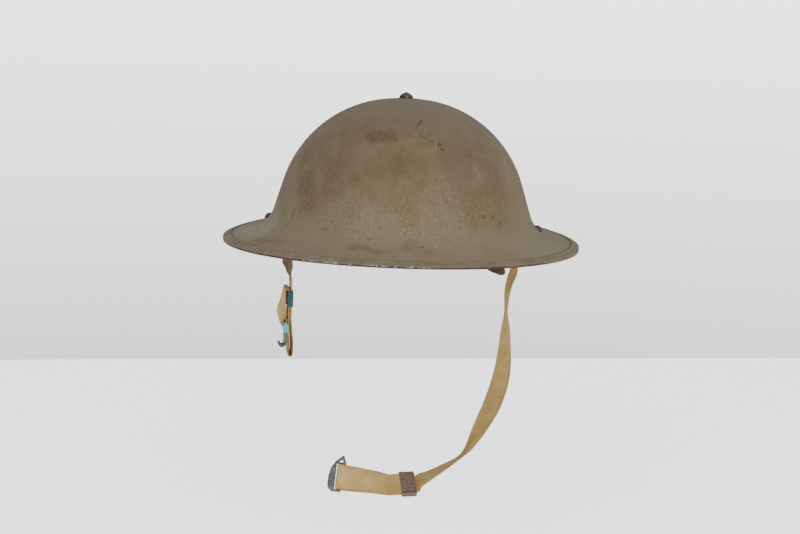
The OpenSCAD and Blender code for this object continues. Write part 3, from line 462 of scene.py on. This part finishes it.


# Damp stains and creases on the webbing, and painted shade on the left strap's upper part, in the
# same form as the shell's stains
WEB_STAINS_AND_SHADE = (
    ((31, -84, -176), (27, -86, -181), 3, 7, 0.75, "#a2642c"),
    ((60, -76, -151), (68, -70, -142), 2, 8, 0.4, "#a9743c"),
    ((-6, -98, -168), (-8, -100, -180), 0.5, 1.2, 0.5, "#8a6636"),
    ((-1, -98, -166), (-9, -99, -173), 0.3, 0.7, 0.45, "#7d5c33"),
    ((85, -4, -18), (88, -2, -8), 2, 6, 0.35, "#8f7136"),
    ((-86, -6, -87), (-86, -6, -99), 2.5, 5, 0.75, "#6b4a2c"),
    # Painted shade on the left strap's upper part, under the brim
    ((-91, 0, -11), (-91, 2, -28), 10, 5, 0.8, "#584930"))


def cotton_webbing():
    """Unbleached cotton woven tight, 19 mm wide: a dull tan with ribs of weft across it every
    1.1 mm, cords of warp along it every 0.9 mm, grime at its edges, rust-brown damp stains, and
    painted shade on the left strap's upper part."""
    rib, cord = 1.1, 0.9
    finish, tree, shader = blank_finish("woven_cotton_webbing", 0.9, sheen=0.35,
                                        sheen_colour="#d8c7a0", specular=0.2)
    run = add(tree, "Attribute", out="Vector", attribute_name="run")
    spot = add(tree, "TexCoord", out="Object")
    along, across, _ = add(tree, "SeparateXYZ", {0: run}, out=None)
    waves = []
    for way, step in ((along, rib), (across, cord)):
        angle = add(tree, "Math", {0: way, 1: 2 * math.pi / (step * MM)}, operation="MULTIPLY")
        waves.append(add(tree, "Math", {0: angle}, operation="SINE"))
    weft, warp = waves
    crossed = add(tree, "Math", {0: weft, 1: warp}, operation="MULTIPLY")
    weave = add(tree, "Math", {0: weft, 1: 0.6, 2: crossed}, operation="MULTIPLY_ADD")
    colour = add(tree, "ValToRGB", {0: add(tree, "TexNoise", grains(spot, 16, 4.0, 0.6))},
                 stops=((0.3, "#c8a25e"), (0.5, "#dbb672"), (0.7, "#e6c98e")))
    colour = over(tree, colour, "#8a6c3f", mask(tree, weave, -0.3, -1.3), 0.35)
    # Single threads, about 1.1 mm wide and 17 mm long
    drawn_out = add(tree, "VectorMath", {0: run, 1: (60, 900, 1)}, operation="MULTIPLY")
    threads = add(tree, "TexNoise", {"Vector": drawn_out, "Scale": 1.0, "Detail": 2.0})
    colour = over(tree, colour, "#d2bb8d", mask(tree, threads, 0.5, 0.75), 0.35)
    from_middle = add(tree, "Math", {0: across}, operation="ABSOLUTE")
    colour = over(tree, colour, "#8f7145", mask(tree, from_middle, 0.0079, 0.0094), 0.5)
    for start, end, half, soft, strength, shade in WEB_STAINS_AND_SHADE:
        colour = over(tree, colour, shade, mark(tree, spot, start, end, half, soft), strength)
    height = add(tree, "Math", {0: weave, 1: 0.35, 2: threads}, operation="MULTIPLY_ADD")
    join(tree, shader, {
        "Base Color": colour,
        "Normal": add(tree, "Bump", {"Strength": 0.55, "Distance": 0.0003, "Height": height})})
    return finish


def tanned_leather(name, dark, mid, pale, roughness):
    """Vegetable-tanned hide, dried and darkened by wear: pebbled grain about 0.9 mm across, creased
    and glossier where it was handled."""
    finish, tree, shader = blank_finish(name, roughness, specular=0.4)
    spot = add(tree, "TexCoord", out="Object")
    cloud = add(tree, "TexNoise", grains(spot, 12, 4.0, 0.6))
    pebbles = add(tree, "TexVoronoi", {"Vector": spot, "Scale": 1 / (0.9 * MM)}, feature="DISTANCE_TO_EDGE")
    crack = mask(tree, pebbles, 0.12, 0.02)
    colour = add(tree, "ValToRGB", {0: cloud}, stops=((0.3, dark), (0.52, mid), (0.72, pale)))
    waves = add(tree, "TexNoise", grains(spot, 2.4))
    height = add(tree, "Math", {0: crack, 1: -0.7, 2: waves}, operation="MULTIPLY_ADD")
    join(tree, shader, {
        "Base Color": over(tree, colour, dark, crack, 0.6),
        "Roughness": mask(tree, cloud, 0.3, 0.7, start=roughness - 0.08, end=roughness + 0.15),
        "Normal": add(tree, "Bump", {"Strength": 0.4, "Distance": 0.0003, "Height": height})})
    return finish


def pressed_felt():
    """Grey wool felt: no weave, only short matted fibres that blur every edge."""
    finish, tree, shader = blank_finish("pressed_wool_felt", 0.95, sheen=0.6, sheen_colour="#cfc8b8",
                                        specular=0.1)
    fibre = add(tree, "TexNoise", grains(add(tree, "TexCoord", out="Object"), 0.7, 4.0, 0.75, 1.2))
    join(tree, shader, {
        "Base Color": add(tree, "ValToRGB", {0: fibre}, stops=((0.3, "#5f594d"), (0.7, "#96907f"))),
        "Normal": add(tree, "Bump", {"Strength": 0.7, "Distance": 0.0004, "Height": fibre})})
    return finish


def linen_thread():
    """Waxed linen thread, yellower and shinier than the webbing that it holds."""
    finish, tree, shader = blank_finish("waxed_linen_thread", 0.6, sheen=0.2, sheen_colour="#e0d2ac")
    strands = add(tree, "TexNoise", grains(add(tree, "TexCoord", out="Object"), 1.5))
    colour = add(tree, "ValToRGB", {0: strands}, stops=((0.3, "#8f7a4a"), (0.7, "#c4ad78")))
    join(tree, shader, {"Base Color": colour})
    return finish


PAINT = sanded_paint()
RIM = worn_rim_paint()
RIVET_STEEL = browned_steel("greenish_browned_rivets", "#524a3e", "#696053", "#857b6c", 0.55)
BROWNED = browned_steel("browned_steel_fastenings", "#464135", "#5f5846", "#8a8169", 0.32)
DULL_BROWNED = browned_steel("dull_browned_steel", "#35332c", "#4f4d43", "#6a675a", 0.5)
JAPANNED = japanned_steel()
GREEN_BRASS = tarnished_brass("green_tarnished_brass", ("#2f3a36", "#4f6259"), ("#2c4b47", "#4a6c66"),
                              0.35, 0.6)
CYAN_BRASS = tarnished_brass("cyan_tarnished_brass", ("#4a5957", "#6a8380"), ("#5fabb5", "#93cfd8"),
                             0.36, 0.5, grime_and_shade=(
                                 ((-95, -1, -84), (-94, -1, -90), 5, 2, 0.75, "#676c60"),
                                 ((-99, -1, -93), (-93, -1, -94), 4, 2, 0.8, "#5a5348")))
GREY_BRASS = tarnished_brass("grey_tarnished_brass", ("#4d4e4b", "#70726f"), ("#64867a", "#8fae9f"),
                             0.52, 0.66)
BROWN_BRASS = tarnished_brass("brown_tarnished_brass", ("#7c695c", "#ac9283"), ("#988777", "#b9a897"),
                              0.55, 0.8, grime_and_shade=(
                                  # Painted shade along the keeper's lower edge
                                  ((27, -93, -179.4), (17, -95.4, -179.6), 2.4, 0.8, 0.8, "#65564d"),))
WEB = cotton_webbing()
BAND_LEATHER = tanned_leather("sweatband_hide", "#3b2a1d", "#6a4a33", "#88664b", 0.55)
PAD_LEATHER = tanned_leather("crown_pad_hide", "#2a211a", "#43352a", "#5f4d3c", 0.6)
FELT = pressed_felt()
THREAD = linen_thread()

CAD_FINISHES = {
    "shell": PAINT, "rim_strip": RIM, "crown_dome_nut": BROWNED, "cap_washer": DULL_BROWNED,
    "crown_bolt": DULL_BROWNED, "bolt_washer": DULL_BROWNED, "long_arm": JAPANNED,
    "cross_arm": JAPANNED, "liner_hoop": JAPANNED, "liner_rivets": DULL_BROWNED,
    "right_lug": DULL_BROWNED, "left_lug": DULL_BROWNED, "right_lug_rivet": RIVET_STEEL,
    "left_lug_rivet": RIVET_STEEL, "right_bail": DULL_BROWNED, "left_bail": DULL_BROWNED,
    "left_adjuster": GREEN_BRASS, "left_hook": CYAN_BRASS, "strap_keeper": BROWN_BRASS,
    "end_buckle": GREY_BRASS}
for name, finish in CAD_FINISHES.items():
    made = nodes[name]
    if not made.material_slots:
        made.data.materials.append(None)
    for held in made.material_slots:
        held.link = "OBJECT"
        held.material = finish


# Meshes

def skin(rings, loop=False):
    """Points and faces of a closed skin through rings that have the same number of points."""
    n = len(rings[0])
    points = [p for ring in rings for p in ring]
    faces = []
    for i in range(len(rings) if loop else len(rings) - 1):
        a, b = i * n, (i + 1) % len(rings) * n
        faces += [(a + k, a + (k + 1) % n, b + (k + 1) % n, b + k) for k in range(n)]
    if not loop:
        faces.append(tuple(range(n))[::-1])
        faces.append(tuple(range((len(rings) - 1) * n, len(rings) * n)))
    return points, faces


def piece(name, points, faces, finish, body, stands_for=(), run=None):
    """A smooth closed piece on a CAD body. run is a place along and across it at each point."""
    mesh = bpy.data.meshes.new(name)
    mesh.from_pydata([tuple(p) for p in points], [], faces)
    if run:
        held = mesh.attributes.new("run", "FLOAT_VECTOR", "POINT")
        held.data.foreach_set("vector", [v for place in run for v in place])
    work = bmesh.new()
    work.from_mesh(mesh)
    bmesh.ops.recalc_face_normals(work, faces=work.faces)
    work.to_mesh(mesh)
    work.free()
    for face in mesh.polygons:
        face.use_smooth = True
    mesh.materials.append(finish)
    made = bpy.data.objects.new(name, mesh)
    bpy.context.collection.objects.link(made)
    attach(made, body)
    if stands_for:
        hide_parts(*stands_for)
    return made


# Webbing: the routes are those of the solids, in millimetres from each bail's lower bar. A station
# is a place on the webbing's middle line and the direction across it

def catmull(a, b, c, d, u):
    """The station at u, from 0 to 1, on the smooth curve from b to c that a and d steer."""
    return [0.5 * (2 * q + (r - p) * u + (2 * p - 5 * q + 4 * r - s) * u * u
                   + (3 * q - p - 3 * r + s) * u ** 3) for p, q, r, s in zip(a, b, c, d)]


def smooth_run(stations, n):
    """A smooth curve through the stations, in n steps from each to the next."""
    last = len(stations) - 1
    out = []
    for i in range(last):
        for k in range(n):
            out.append(catmull(stations[max(i - 1, 0)], stations[i], stations[i + 1],
                               stations[min(i + 2, last)], k / n))
    return out + [list(stations[last])]


def round_bar(r, start, end, n, side):
    """Stations round a level bar, from one angle to the other in degrees."""
    out = []
    for i in range(n + 1):
        a = math.radians(start + (end - start) * i / n)
        out.append([r * math.sin(a), 0, r * math.cos(a), 0, side, 0])
    return out


def placed(stations, at):
    """The stations moved from the bail's bar to a place."""
    return [[s[0] + at[0], s[1] + at[1], s[2] + at[2], *s[3:]] for s in stations]


def turned(stations, degrees):
    """The stations turned about the upright."""
    c, s = math.cos(math.radians(degrees)), math.sin(math.radians(degrees))
    return [[q[0] * c - q[1] * s, q[0] * s + q[1] * c, q[2], q[3] * c - q[4] * s,
             q[3] * s + q[4] * c, q[5]] for q in stations]


def frame_at(stations, i):
    """Point, direction, width direction and face direction at a station."""
    last = len(stations) - 1
    point = Vector(stations[i][:3])
    along = (Vector(stations[min(i + 1, last)][:3]) - Vector(stations[max(i - 1, 0)][:3])).normalized()
    wide = Vector(stations[i][3:])
    wide = (wide - wide.dot(along) * along).normalized()
    return point, along, wide, along.cross(wide)


bail_low, bail_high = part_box("right_bail")
WIRE_R = (bail_high.x - bail_low.x) / 2 / MM
EYE_X, BAR_Z = bail_low.x / MM + WIRE_R, bail_low.z / MM + WIRE_R
# The middle line's radius round a bail and round a bar, and the way from layer to layer
WRAP_R, BAR_WRAP_R, LAYER = 2.3, 2.15, 1.75
WEB_W, WEB_T = 19.0, 1.5
LEFT_STRAP_TURN = 16
HALF_TURN = [math.radians(180 * i / 8) for i in range(1, 8)]


def left_route():
    """The left strap, from its sewn end over the bail and down to the loop at its foot, back up
    through the adjuster, over a fold, and down outside to the hook's bar and round it."""
    run_x = 4
    back_x = run_x - LAYER
    loop_z, loop_x, loop_half = -92.5, 5.5, 1.65
    fold_z, fold_r, fold_rise = -42, 1.6, 1.4
    outer_x = back_x - 2 * fold_r
    hook = (-1.7, 0, -68.2)
    down = [[1.1, 0, -17, 0.53, 0.85, 0], [2.2, 0, -21.2, 0.4, 0.92, 0], [3.2, 0, -26, 0.3, 0.95, 0],
            [3.8, 0, -31, 0.02, 1, 0]]
    down += [[run_x, 0, z, 0, 1, 0] for z in (-38, -46, -56, -65)]
    down += [[run_x + 0.7, 0, -74, 0, 1, 0], [loop_x, 0, -84, 0, 1, 0], [loop_x, 0, loop_z, 0, 1, 0]]
    up = [[loop_x - 2 * loop_half, 0, loop_z, 0, 1, 0], [back_x + 0.3, 0, -84, 0, 1, 0]]
    up += [[back_x, 0, z, 0, 1, 0] for z in (-74, -65, -56, -48, fold_z)]
    outside = [[outer_x, 0, fold_z, 0, 1, 0], [outer_x - 0.9, 0, -50.5, -0.1, 1, 0],
               [outer_x - 1.8, 0, -57.5, -0.27, 0.96, 0], [outer_x - 1.9, 0, -61, -0.31, 0.95, 0],
               [outer_x - 2.6, 0, -64.5, -0.2, 0.98, 0],
               [hook[0] - BAR_WRAP_R, 0, hook[2] + 0.5, -0.05, 1, 0]]
    lower = smooth_run(down, 4)
    lower += [[loop_x - loop_half * (1 - math.cos(a)), 0, loop_z - 2 * loop_half * math.sin(a), 0, 1, 0]
              for a in HALF_TURN]
    lower += smooth_run(up, 4)
    lower += [[back_x - fold_r * (1 - math.cos(a)), 0, fold_z + fold_rise * fold_r * math.sin(a), 0, 1, 0]
              for a in HALF_TURN]
    lower += smooth_run(outside, 4) + placed(round_bar(BAR_WRAP_R, -90, -270, 8, 1), hook)
    lower += [[hook[0] + BAR_WRAP_R, 0, hook[2] + z, 0, 1, 0] for z in (3, 4)]
    head = [[-WRAP_R, 0, -10.5, 0, 1, 0], [-WRAP_R, 0, -5, 0, 1, 0]] + round_bar(WRAP_R, -90, 90, 8, 1)
    head += [[WRAP_R - 0.1, 0, -4, 0, 1, 0], [WRAP_R - 0.5, 0.05, -8, 0.03, 1, 0],
             [WRAP_R - 0.9, 0.15, -12, 0.08, 1, 0]]
    return placed(head + turned(lower, LEFT_STRAP_TURN), (-EYE_X, 0, BAR_Z))


def laid(k):
    """A station on the right strap's straight part, which lies on its edge, k steps along it."""
    return [-65.8 - 3.24 * k, -83.5 - 0.86 * k, -168.9 - 0.05 * k, 0.05, -0.875, -0.482]


def right_route():
    """The right strap, from its sewn end over the bail, down with a twist to where it is laid, and
    round the end buckle's bar, from which its end runs back behind it."""
    run = [[WRAP_R, 0, -10, 0, -1, 0], [WRAP_R, 0, -5, 0, -1, 0]] + round_bar(WRAP_R, 90, -90, 8, -1)
    run += smooth_run([
        [-WRAP_R, 0, -5, 0.05, -1, 0], [-2.6, -4, -16.2, 0.3, -0.95, 0.06],
        [-6.3, -8.3, -30.6, 0.25, -0.95, 0.21], [-6.9, -12.5, -47.6, 0.11, -0.96, 0.25],
        [-6.8, -16.8, -60.8, 0.34, -0.9, 0.27], [-6.7, -23.7, -75.8, 0.51, -0.81, 0.3],
        [-7.3, -32.2, -89, 0.66, -0.7, 0.25], [-9.5, -42, -100.8, 0.76, -0.6, 0.24],
        [-13.8, -53.5, -113.4, 0.77, -0.62, 0.17], [-18.3, -61.4, -122.2, 0.65, -0.75, 0.09],
        [-24.2, -69.6, -133.1, 0.47, -0.87, 0.13], [-29.9, -75.1, -142.6, 0.28, -0.93, 0.24],
        [-37.1, -78.1, -149.6, 0.03, -0.98, 0.17], [-46.9, -80.1, -156.3, 0.03, -1, 0.03],
        [-58.4, -81.7, -163.6, 0.04, -0.99, -0.13], [-64.3, -83, -166.6, 0.1, -0.965, -0.24],
        [*laid(0.3)[:3], 0.06, -0.915, -0.4],
        *[laid(k) for k in (0.65, 1.6, 2.5, 3.4, 4.3, 5.2, 6.1, 7)],
        [-97.2, -90.8, -167.8, 0.11, -0.785, -0.61], [-110.1, -92.4, -165.9, 0.15, -0.7, -0.7],
        [-124, -94.4, -164.2, 0.13, -0.53, -0.84]], 3)
    last = len(run) - 1
    point, along, wide, face = frame_at(run, last)
    bar = point - face * BAR_WRAP_R
    fold = []
    for a in HALF_TURN:
        fold.append([*(bar + BAR_WRAP_R * (math.sin(a) * along + math.cos(a) * face)), *wide])
    back = []
    back_steps, closing_steps = 29, 6
    for k in range(1, back_steps + 1):
        point, _, wide, face = frame_at(run, last - k)
        u = min(1, k / closing_steps)
        gap = 2 * BAR_WRAP_R + (LAYER - 2 * BAR_WRAP_R) * u * u * (3 - 2 * u)
        back.append([*(point - face * gap), *wide])
    return placed(run + fold + back, (EYE_X, 0, BAR_Z))


def even_steps(stations, step):
    """Stations every step millimetres along a curve through the given ones."""
    points = [Vector(s[:3]) for s in stations]
    knots = [0.0]
    shortest = 1e-4
    for a, b in zip(points, points[1:]):
        knots.append(knots[-1] + max((b - a).length, shortest))
    count = round(knots[-1] / step)
    out, i = [], 0
    for j in range(count + 1):
        s = knots[-1] * j / count
        while i < len(knots) - 2 and knots[i + 1] < s:
            i += 1
        t0, t1 = knots[i], knots[i + 1]
        u = (s - t0) / (t1 - t0)
        before, after = max(i - 1, 0), min(i + 2, len(knots) - 1)
        slopes = []
        for a, b in ((before, i + 1), (i, after)):
            span = knots[b] - knots[a]
            slopes.append([(q - p) / span * (t1 - t0) for p, q in zip(stations[a], stations[b])])
        # The weights of the two ends and of their slopes
        h = (2 * u ** 3 - 3 * u * u + 1, u ** 3 - 2 * u * u + u, 3 * u * u - 2 * u ** 3, u ** 3 - u * u)
        out.append([h[0] * p + h[1] * m + h[2] * q + h[3] * n for p, m, q, n in
                    zip(stations[i], slopes[0], stations[i + 1], slopes[1])])
    return out, knots[-1] / count


def squared_oval(count, wide_power, thick_power):
    """Places round an oval, from -1 to 1 both ways, that is the squarer the lower its powers are."""
    out = []
    for k in range(count):
        a = 2 * math.pi * (k + 0.5) / count
        c, d = math.cos(a), math.sin(a)
        out.append((math.copysign(abs(c) ** wide_power, c), math.copysign(abs(d) ** thick_power, d)))
    return out


def web_strap(name, route, seed, stands_for):
    """A strap with rounded, slightly thicker woven edges that wander by a tenth of a millimetre. It
    gives its stations, which are a millimetre apart."""
    stations, step = even_steps(route, 1.0)
    section = squared_oval(20, 0.28, 0.55)
    edge_from, edge_width, edge_swell = 0.85, 0.15, 0.1
    rings, run = [], []
    for i in range(len(stations)):
        point, _, wide, face = frame_at(stations, i)
        s = i * step
        drift = 0.12 * noise.noise(Vector((s * 0.09, seed, 0)))
        half = WEB_W / 2 - 0.05 + 0.14 * noise.noise(Vector((s * 0.16, seed, 5)))
        ring = []
        for x, z in section:
            swell = 1 + edge_swell * max(0, abs(x) - edge_from) / edge_width
            lift = 0.05 * noise.noise(Vector((s * 0.3, x * 3, seed)))
            ring.append((point + wide * (half * x + drift) + face * (WEB_T / 2 * z * swell + lift)) * MM)
            run.append((s * MM, half * x * MM, z * WEB_T / 2 * MM))
        rings.append(ring)
    points, faces = skin(rings)
    piece(name, points, faces, WEB, stands_for, (stands_for,), run)
    return stations


def thread_run(name, places, body, half_length=0.9, r=0.22):
    """Stitches, each a short bent length of thread: a place, its direction and the face's."""
    points, faces = [], []
    for place, way, out in places:
        rings = []
        side = way.cross(out)
        for u in (-1, -0.5, 0, 0.5, 1):
            centre = place + way * half_length * u + out * (r * 0.9 * (1 - u * u) - r * 0.4)
            thick = r * (0.45 + 0.55 * math.sqrt(1 - u * u * 0.9))
            rings.append([(centre + side * thick * math.cos(a) + out * thick * math.sin(a)) * MM
                          for a in (math.pi / 3 * k for k in range(6))])
        more, ends = skin(rings)
        faces += [tuple(k + len(points) for k in face) for face in ends]
        points += more
    piece(name, points, faces, THREAD, body)


def web_stitches(name, stations, rows_mm, body):
    """Rows of stitches across the webbing's inner and outer faces, where its end is sewn down."""
    spacing, lift = 2.4, 0.02
    places = []
    for row in rows_mm:
        point, _, wide, face = frame_at(stations, row)
        for k in range(-3, 4):
            for out in (face * -1, face):
                places.append((point + wide * spacing * k + out * (WEB_T / 2 + lift), wide, out))
    thread_run(name, places, body)


left_stations = web_strap("left_web_strap", left_route(), 2.0, "left_strap")
right_stations = web_strap("right_web_strap", right_route(), 7.0, "right_strap")
web_stitches("left_bail_stitches", left_stations, (19, 22), "left_strap")
web_stitches("right_bail_stitches", right_stations, (17, 20), "right_strap")


# Liner leather and felt

def oval_piece(name, section, ratio, count, finish, node, wave=None):
    """A closed section, radius and height in millimetres, turned round the upright as an oval."""
    rings = []
    for i in range(count):
        a = 2 * math.pi * i / count
        ring = []
        for r, z in section:
            dr, dz = wave(a, r, z) if wave else (0, 0)
            ring.append(Vector(((r + dr) * math.cos(a), (r + dr) * math.sin(a) * ratio, z + dz)) * MM)
        rings.append(ring)
    points, faces = skin(rings, loop=True)
    piece(name, points, faces, finish, "helmet", (node,))


def leather_band():
    """The sweatband: rolled edges top and bottom, and slow waves where heads pushed it out."""
    low, top, ratio = -4, 33, 1.24
    inner, middle, outer, half = 77.0, 77.9, 78.8, 0.9
    quarters = [math.pi * i / 4 for i in range(5)]
    section = [(middle - half * math.cos(a), top - half + half * math.sin(a)) for a in quarters]
    section += [(outer, z) for z in (28, 22, 16, 10, 4, 0)]
    section += [(middle + half * math.cos(a), low + half - half * math.sin(a)) for a in quarters]
    section += [(inner, z) for z in (0, 4, 10, 16, 22, 28)]
    pushed_below = 10

    def wave(a, r, z):
        push = max(0, (pushed_below - z) / (pushed_below - low))
        slow = noise.noise(Vector((math.cos(a) * 3, math.sin(a) * 3, z * 0.05)))
        return -0.5 * push * abs(slow) - 0.12 * abs(slow), 0.35 * slow * (1 if z > 20 or z < 2 else 0)

    oval_piece("leather_sweatband", section, ratio, 200, BAND_LEATHER, "sweatband", wave)
    count, stitch_r = 150, 76.95
    places = []
    for row in (30.2, -1.6):
        for i in range(count):
            a = 2 * math.pi * (i + 0.5) / count
            point = Vector((stitch_r * math.cos(a), stitch_r * ratio * math.sin(a), row))
            way = Vector((-math.sin(a), ratio * math.cos(a), 0)).normalized()
            inward = Vector((-math.cos(a), -math.sin(a) / ratio, 0)).normalized()
            places.append((point, way, inward))
    thread_run("sweatband_stitches", places, "helmet", 1.0, 0.24)


def leather_tongue():
    """The slipped tongue of leather: cut on a slant, curled a little, with softened edges."""
    route = smooth_run([
        [70.75, -46, 12, 0.405, 0.914, 0], [70.75, -46, 5.5, 0.405, 0.914, 0],
        [71.8, -46.2, -0.5, 0.5, 0.87, 0], [74.2, -46.6, -5.5, 0.65, 0.76, 0],
        [76.4, -47, -9.5, 0.77, 0.64, 0], [77.6, -47.3, -12.5, 0.8, 0.6, 0]], 3)
    widths = [16.5] * len(route) + [13.2, 8.4, 3.2]
    route += [[79.4, -46.7, -14.5, 0.8, 0.6, 0], [81.5, -45.6, -16.2, 0.8, 0.6, -0.04],
              [82, -45.6, -17.6, 0.8, 0.6, -0.08]]
    section = squared_oval(16, 0.35, 0.6)
    rings = []
    last = len(route) - 1
    for i, station in enumerate(route):
        along = Vector(route[min(i + 1, last)][:3]) - Vector(route[max(i - 1, 0)][:3])
        wide = Vector(station[3:]).normalized()
        face = along.cross(wide).normalized()
        half_thick = 0.9 if i < last else 0.6
        rings.append([(Vector(station[:3]) + wide * (widths[i] / 2 * x) + face * half_thick * z) * MM
                      for x, z in section])
    points, faces = skin(rings)
    made = piece("leather_tongue", points, faces, BAND_LEATHER, "helmet", ("sweatband_tongue",))
    smoother = made.modifiers.new("softened", "SUBSURF")
    smoother.levels = smoother.render_levels = 1


def crown_cushion():
    """The crown pad: hide over hair, tied down at the middle, with pleats that run out from the
    well."""
    pad_low, pad_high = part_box("crown_pad")
    half = (pad_high.x - pad_low.x) / 2 / MM
    top = pad_high.z / MM
    thick, ratio, bore, well, drop = 12.0, 1.15, 3.2, 9.4, 8.84
    around, across, under, pleats = 144, 21, 19, 12
    curve = (half * half + drop * drop) / (2 * drop)

    def fall(r):
        return curve - math.sqrt(curve * curve - r * r)

    rings = []
    for i in range(around):
        a = 2 * math.pi * i / around
        pleat = 0.5 + 0.5 * math.cos(pleats * a + 0.7 * math.sin(3 * a))
        ring = []
        for k in range(across + 1):
            r = bore + (half - 0.6 - bore) * (k / across)
            ring.append((r, top - fall(r) - 0.05))
        for k in range(under + 1):
            u = 1 - k / under
            r = well + (half - 0.3 - well) * u
            crown = 1 - (2 * u - 1) ** 2
            depth = 1.5 + (thick - 2.2) * (0.35 + 0.65 * crown ** 0.6) * min(1, (1 - u) * 6 + 0.12)
            depth -= 1.1 * pleat * (1 - u) ** 1.5 * crown ** 0.3
            ring.append((r, top - fall(r) - min(depth, thick - 0.2)))
        ring.append((well - 0.6, top - 2.4))
        ring.append((well - 1.5, top - 1.75))
        ring.append((bore, top - 1.6))
        rings.append([Vector((r * math.cos(a), r * math.sin(a) * ratio, z)) * MM for r, z in ring])
    points, faces = skin(rings, loop=True)
    made = piece("crown_cushion", points, faces, PAD_LEATHER, "helmet", ("crown_pad",))


def felt_disc():
    """The felt washer, its edge frayed by a third of a millimetre."""
    low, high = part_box("felt_washer")
    r, bottom, top = high.x / MM - 0.25, low.z / MM, high.z / MM
    bore = 2.6
    section = [(bore, bottom + 0.1), (bore, top - 0.1), (4, top - 0.03), (7, top - 0.03),
               (r - 0.4, top - 0.08), (r, top - 0.5), (r, bottom + 0.5), (r - 0.4, bottom + 0.05),
               (7, bottom + 0.02), (4, bottom + 0.02)]

    def fray(a, radius, z):
        return (0.3 * noise.noise(Vector((a * 9, z, 3))) if radius > 8 else 0), 0

    oval_piece("felt_disc", section, 1.0, 96, FELT, "felt_washer", fray)


leather_band()
leather_tongue()
crown_cushion()
felt_disc()


# Surroundings

def surroundings():
    """A pale floor under the lowest fitting, which glows a little, a backdrop that is bright for
    the camera, and soft studio light that comes mostly from the front."""
    finish, tree, shader = blank_finish("pale_floor", 0.9, specular=0.1)
    shader.inputs["Base Color"].default_value = linear("#e6e7e9")
    shader.inputs["Emission Color"].default_value = linear("#e6e9ee")
    floor_lit, floor_seen = 1.0, 2.3
    seen = add(tree, "LightPath", out="Is Camera Ray")
    glow = add(tree, "MapRange", {0: seen, 3: floor_lit, 4: floor_seen})
    join(tree, shader, {"Emission Strength": glow})
    level = cad_low.z - 0.6 * MM
    near_left, near_right = (-1.3, -1.3, level), (1.4, -1.3, level)
    far_left, far_right = (-1.1, 0.06, level), (1.2, 0.64, level)
    mesh = bpy.data.meshes.new("floor")
    mesh.from_pydata([near_left, near_right, far_right, far_left], [], [(0, 1, 2, 3)])
    mesh.materials.append(finish)
    floor = bpy.data.objects.new("floor", mesh)
    bpy.context.collection.objects.link(floor)
    world = bpy.data.worlds.new("studio")
    world.use_nodes = True
    bpy.context.scene.world = world
    tree = world.node_tree
    back = tree.nodes["Background"]
    back.inputs["Color"].default_value = linear("#e6e6e5")
    # What the camera sees of the backdrop darkens from above the helmet down to the floor's far edge
    backdrop_lit, backdrop_low, backdrop_high = 0.6, 1.7, 3.7
    rise = add(tree, "SeparateXYZ", {0: add(tree, "TexCoord", out="Generated")}, out=2)
    shown = add(tree, "MapRange", {0: rise, 1: -0.26, 2: 0.04, 3: backdrop_low, 4: backdrop_high})
    seen = add(tree, "LightPath", out="Is Camera Ray")
    join(tree, back, {"Strength": add(tree, "MapRange", {0: seen, 3: backdrop_lit, 4: shown})})
    soft_light("overhead", (-0.2, -0.5, 1.5), 1.4, 4.5, (0.97, 0.98, 1.0))
    soft_light("front", (0.55, -1.7, 0.35), 1.2, 15, (1.0, 0.985, 0.96))


place_camera()
surroundings()
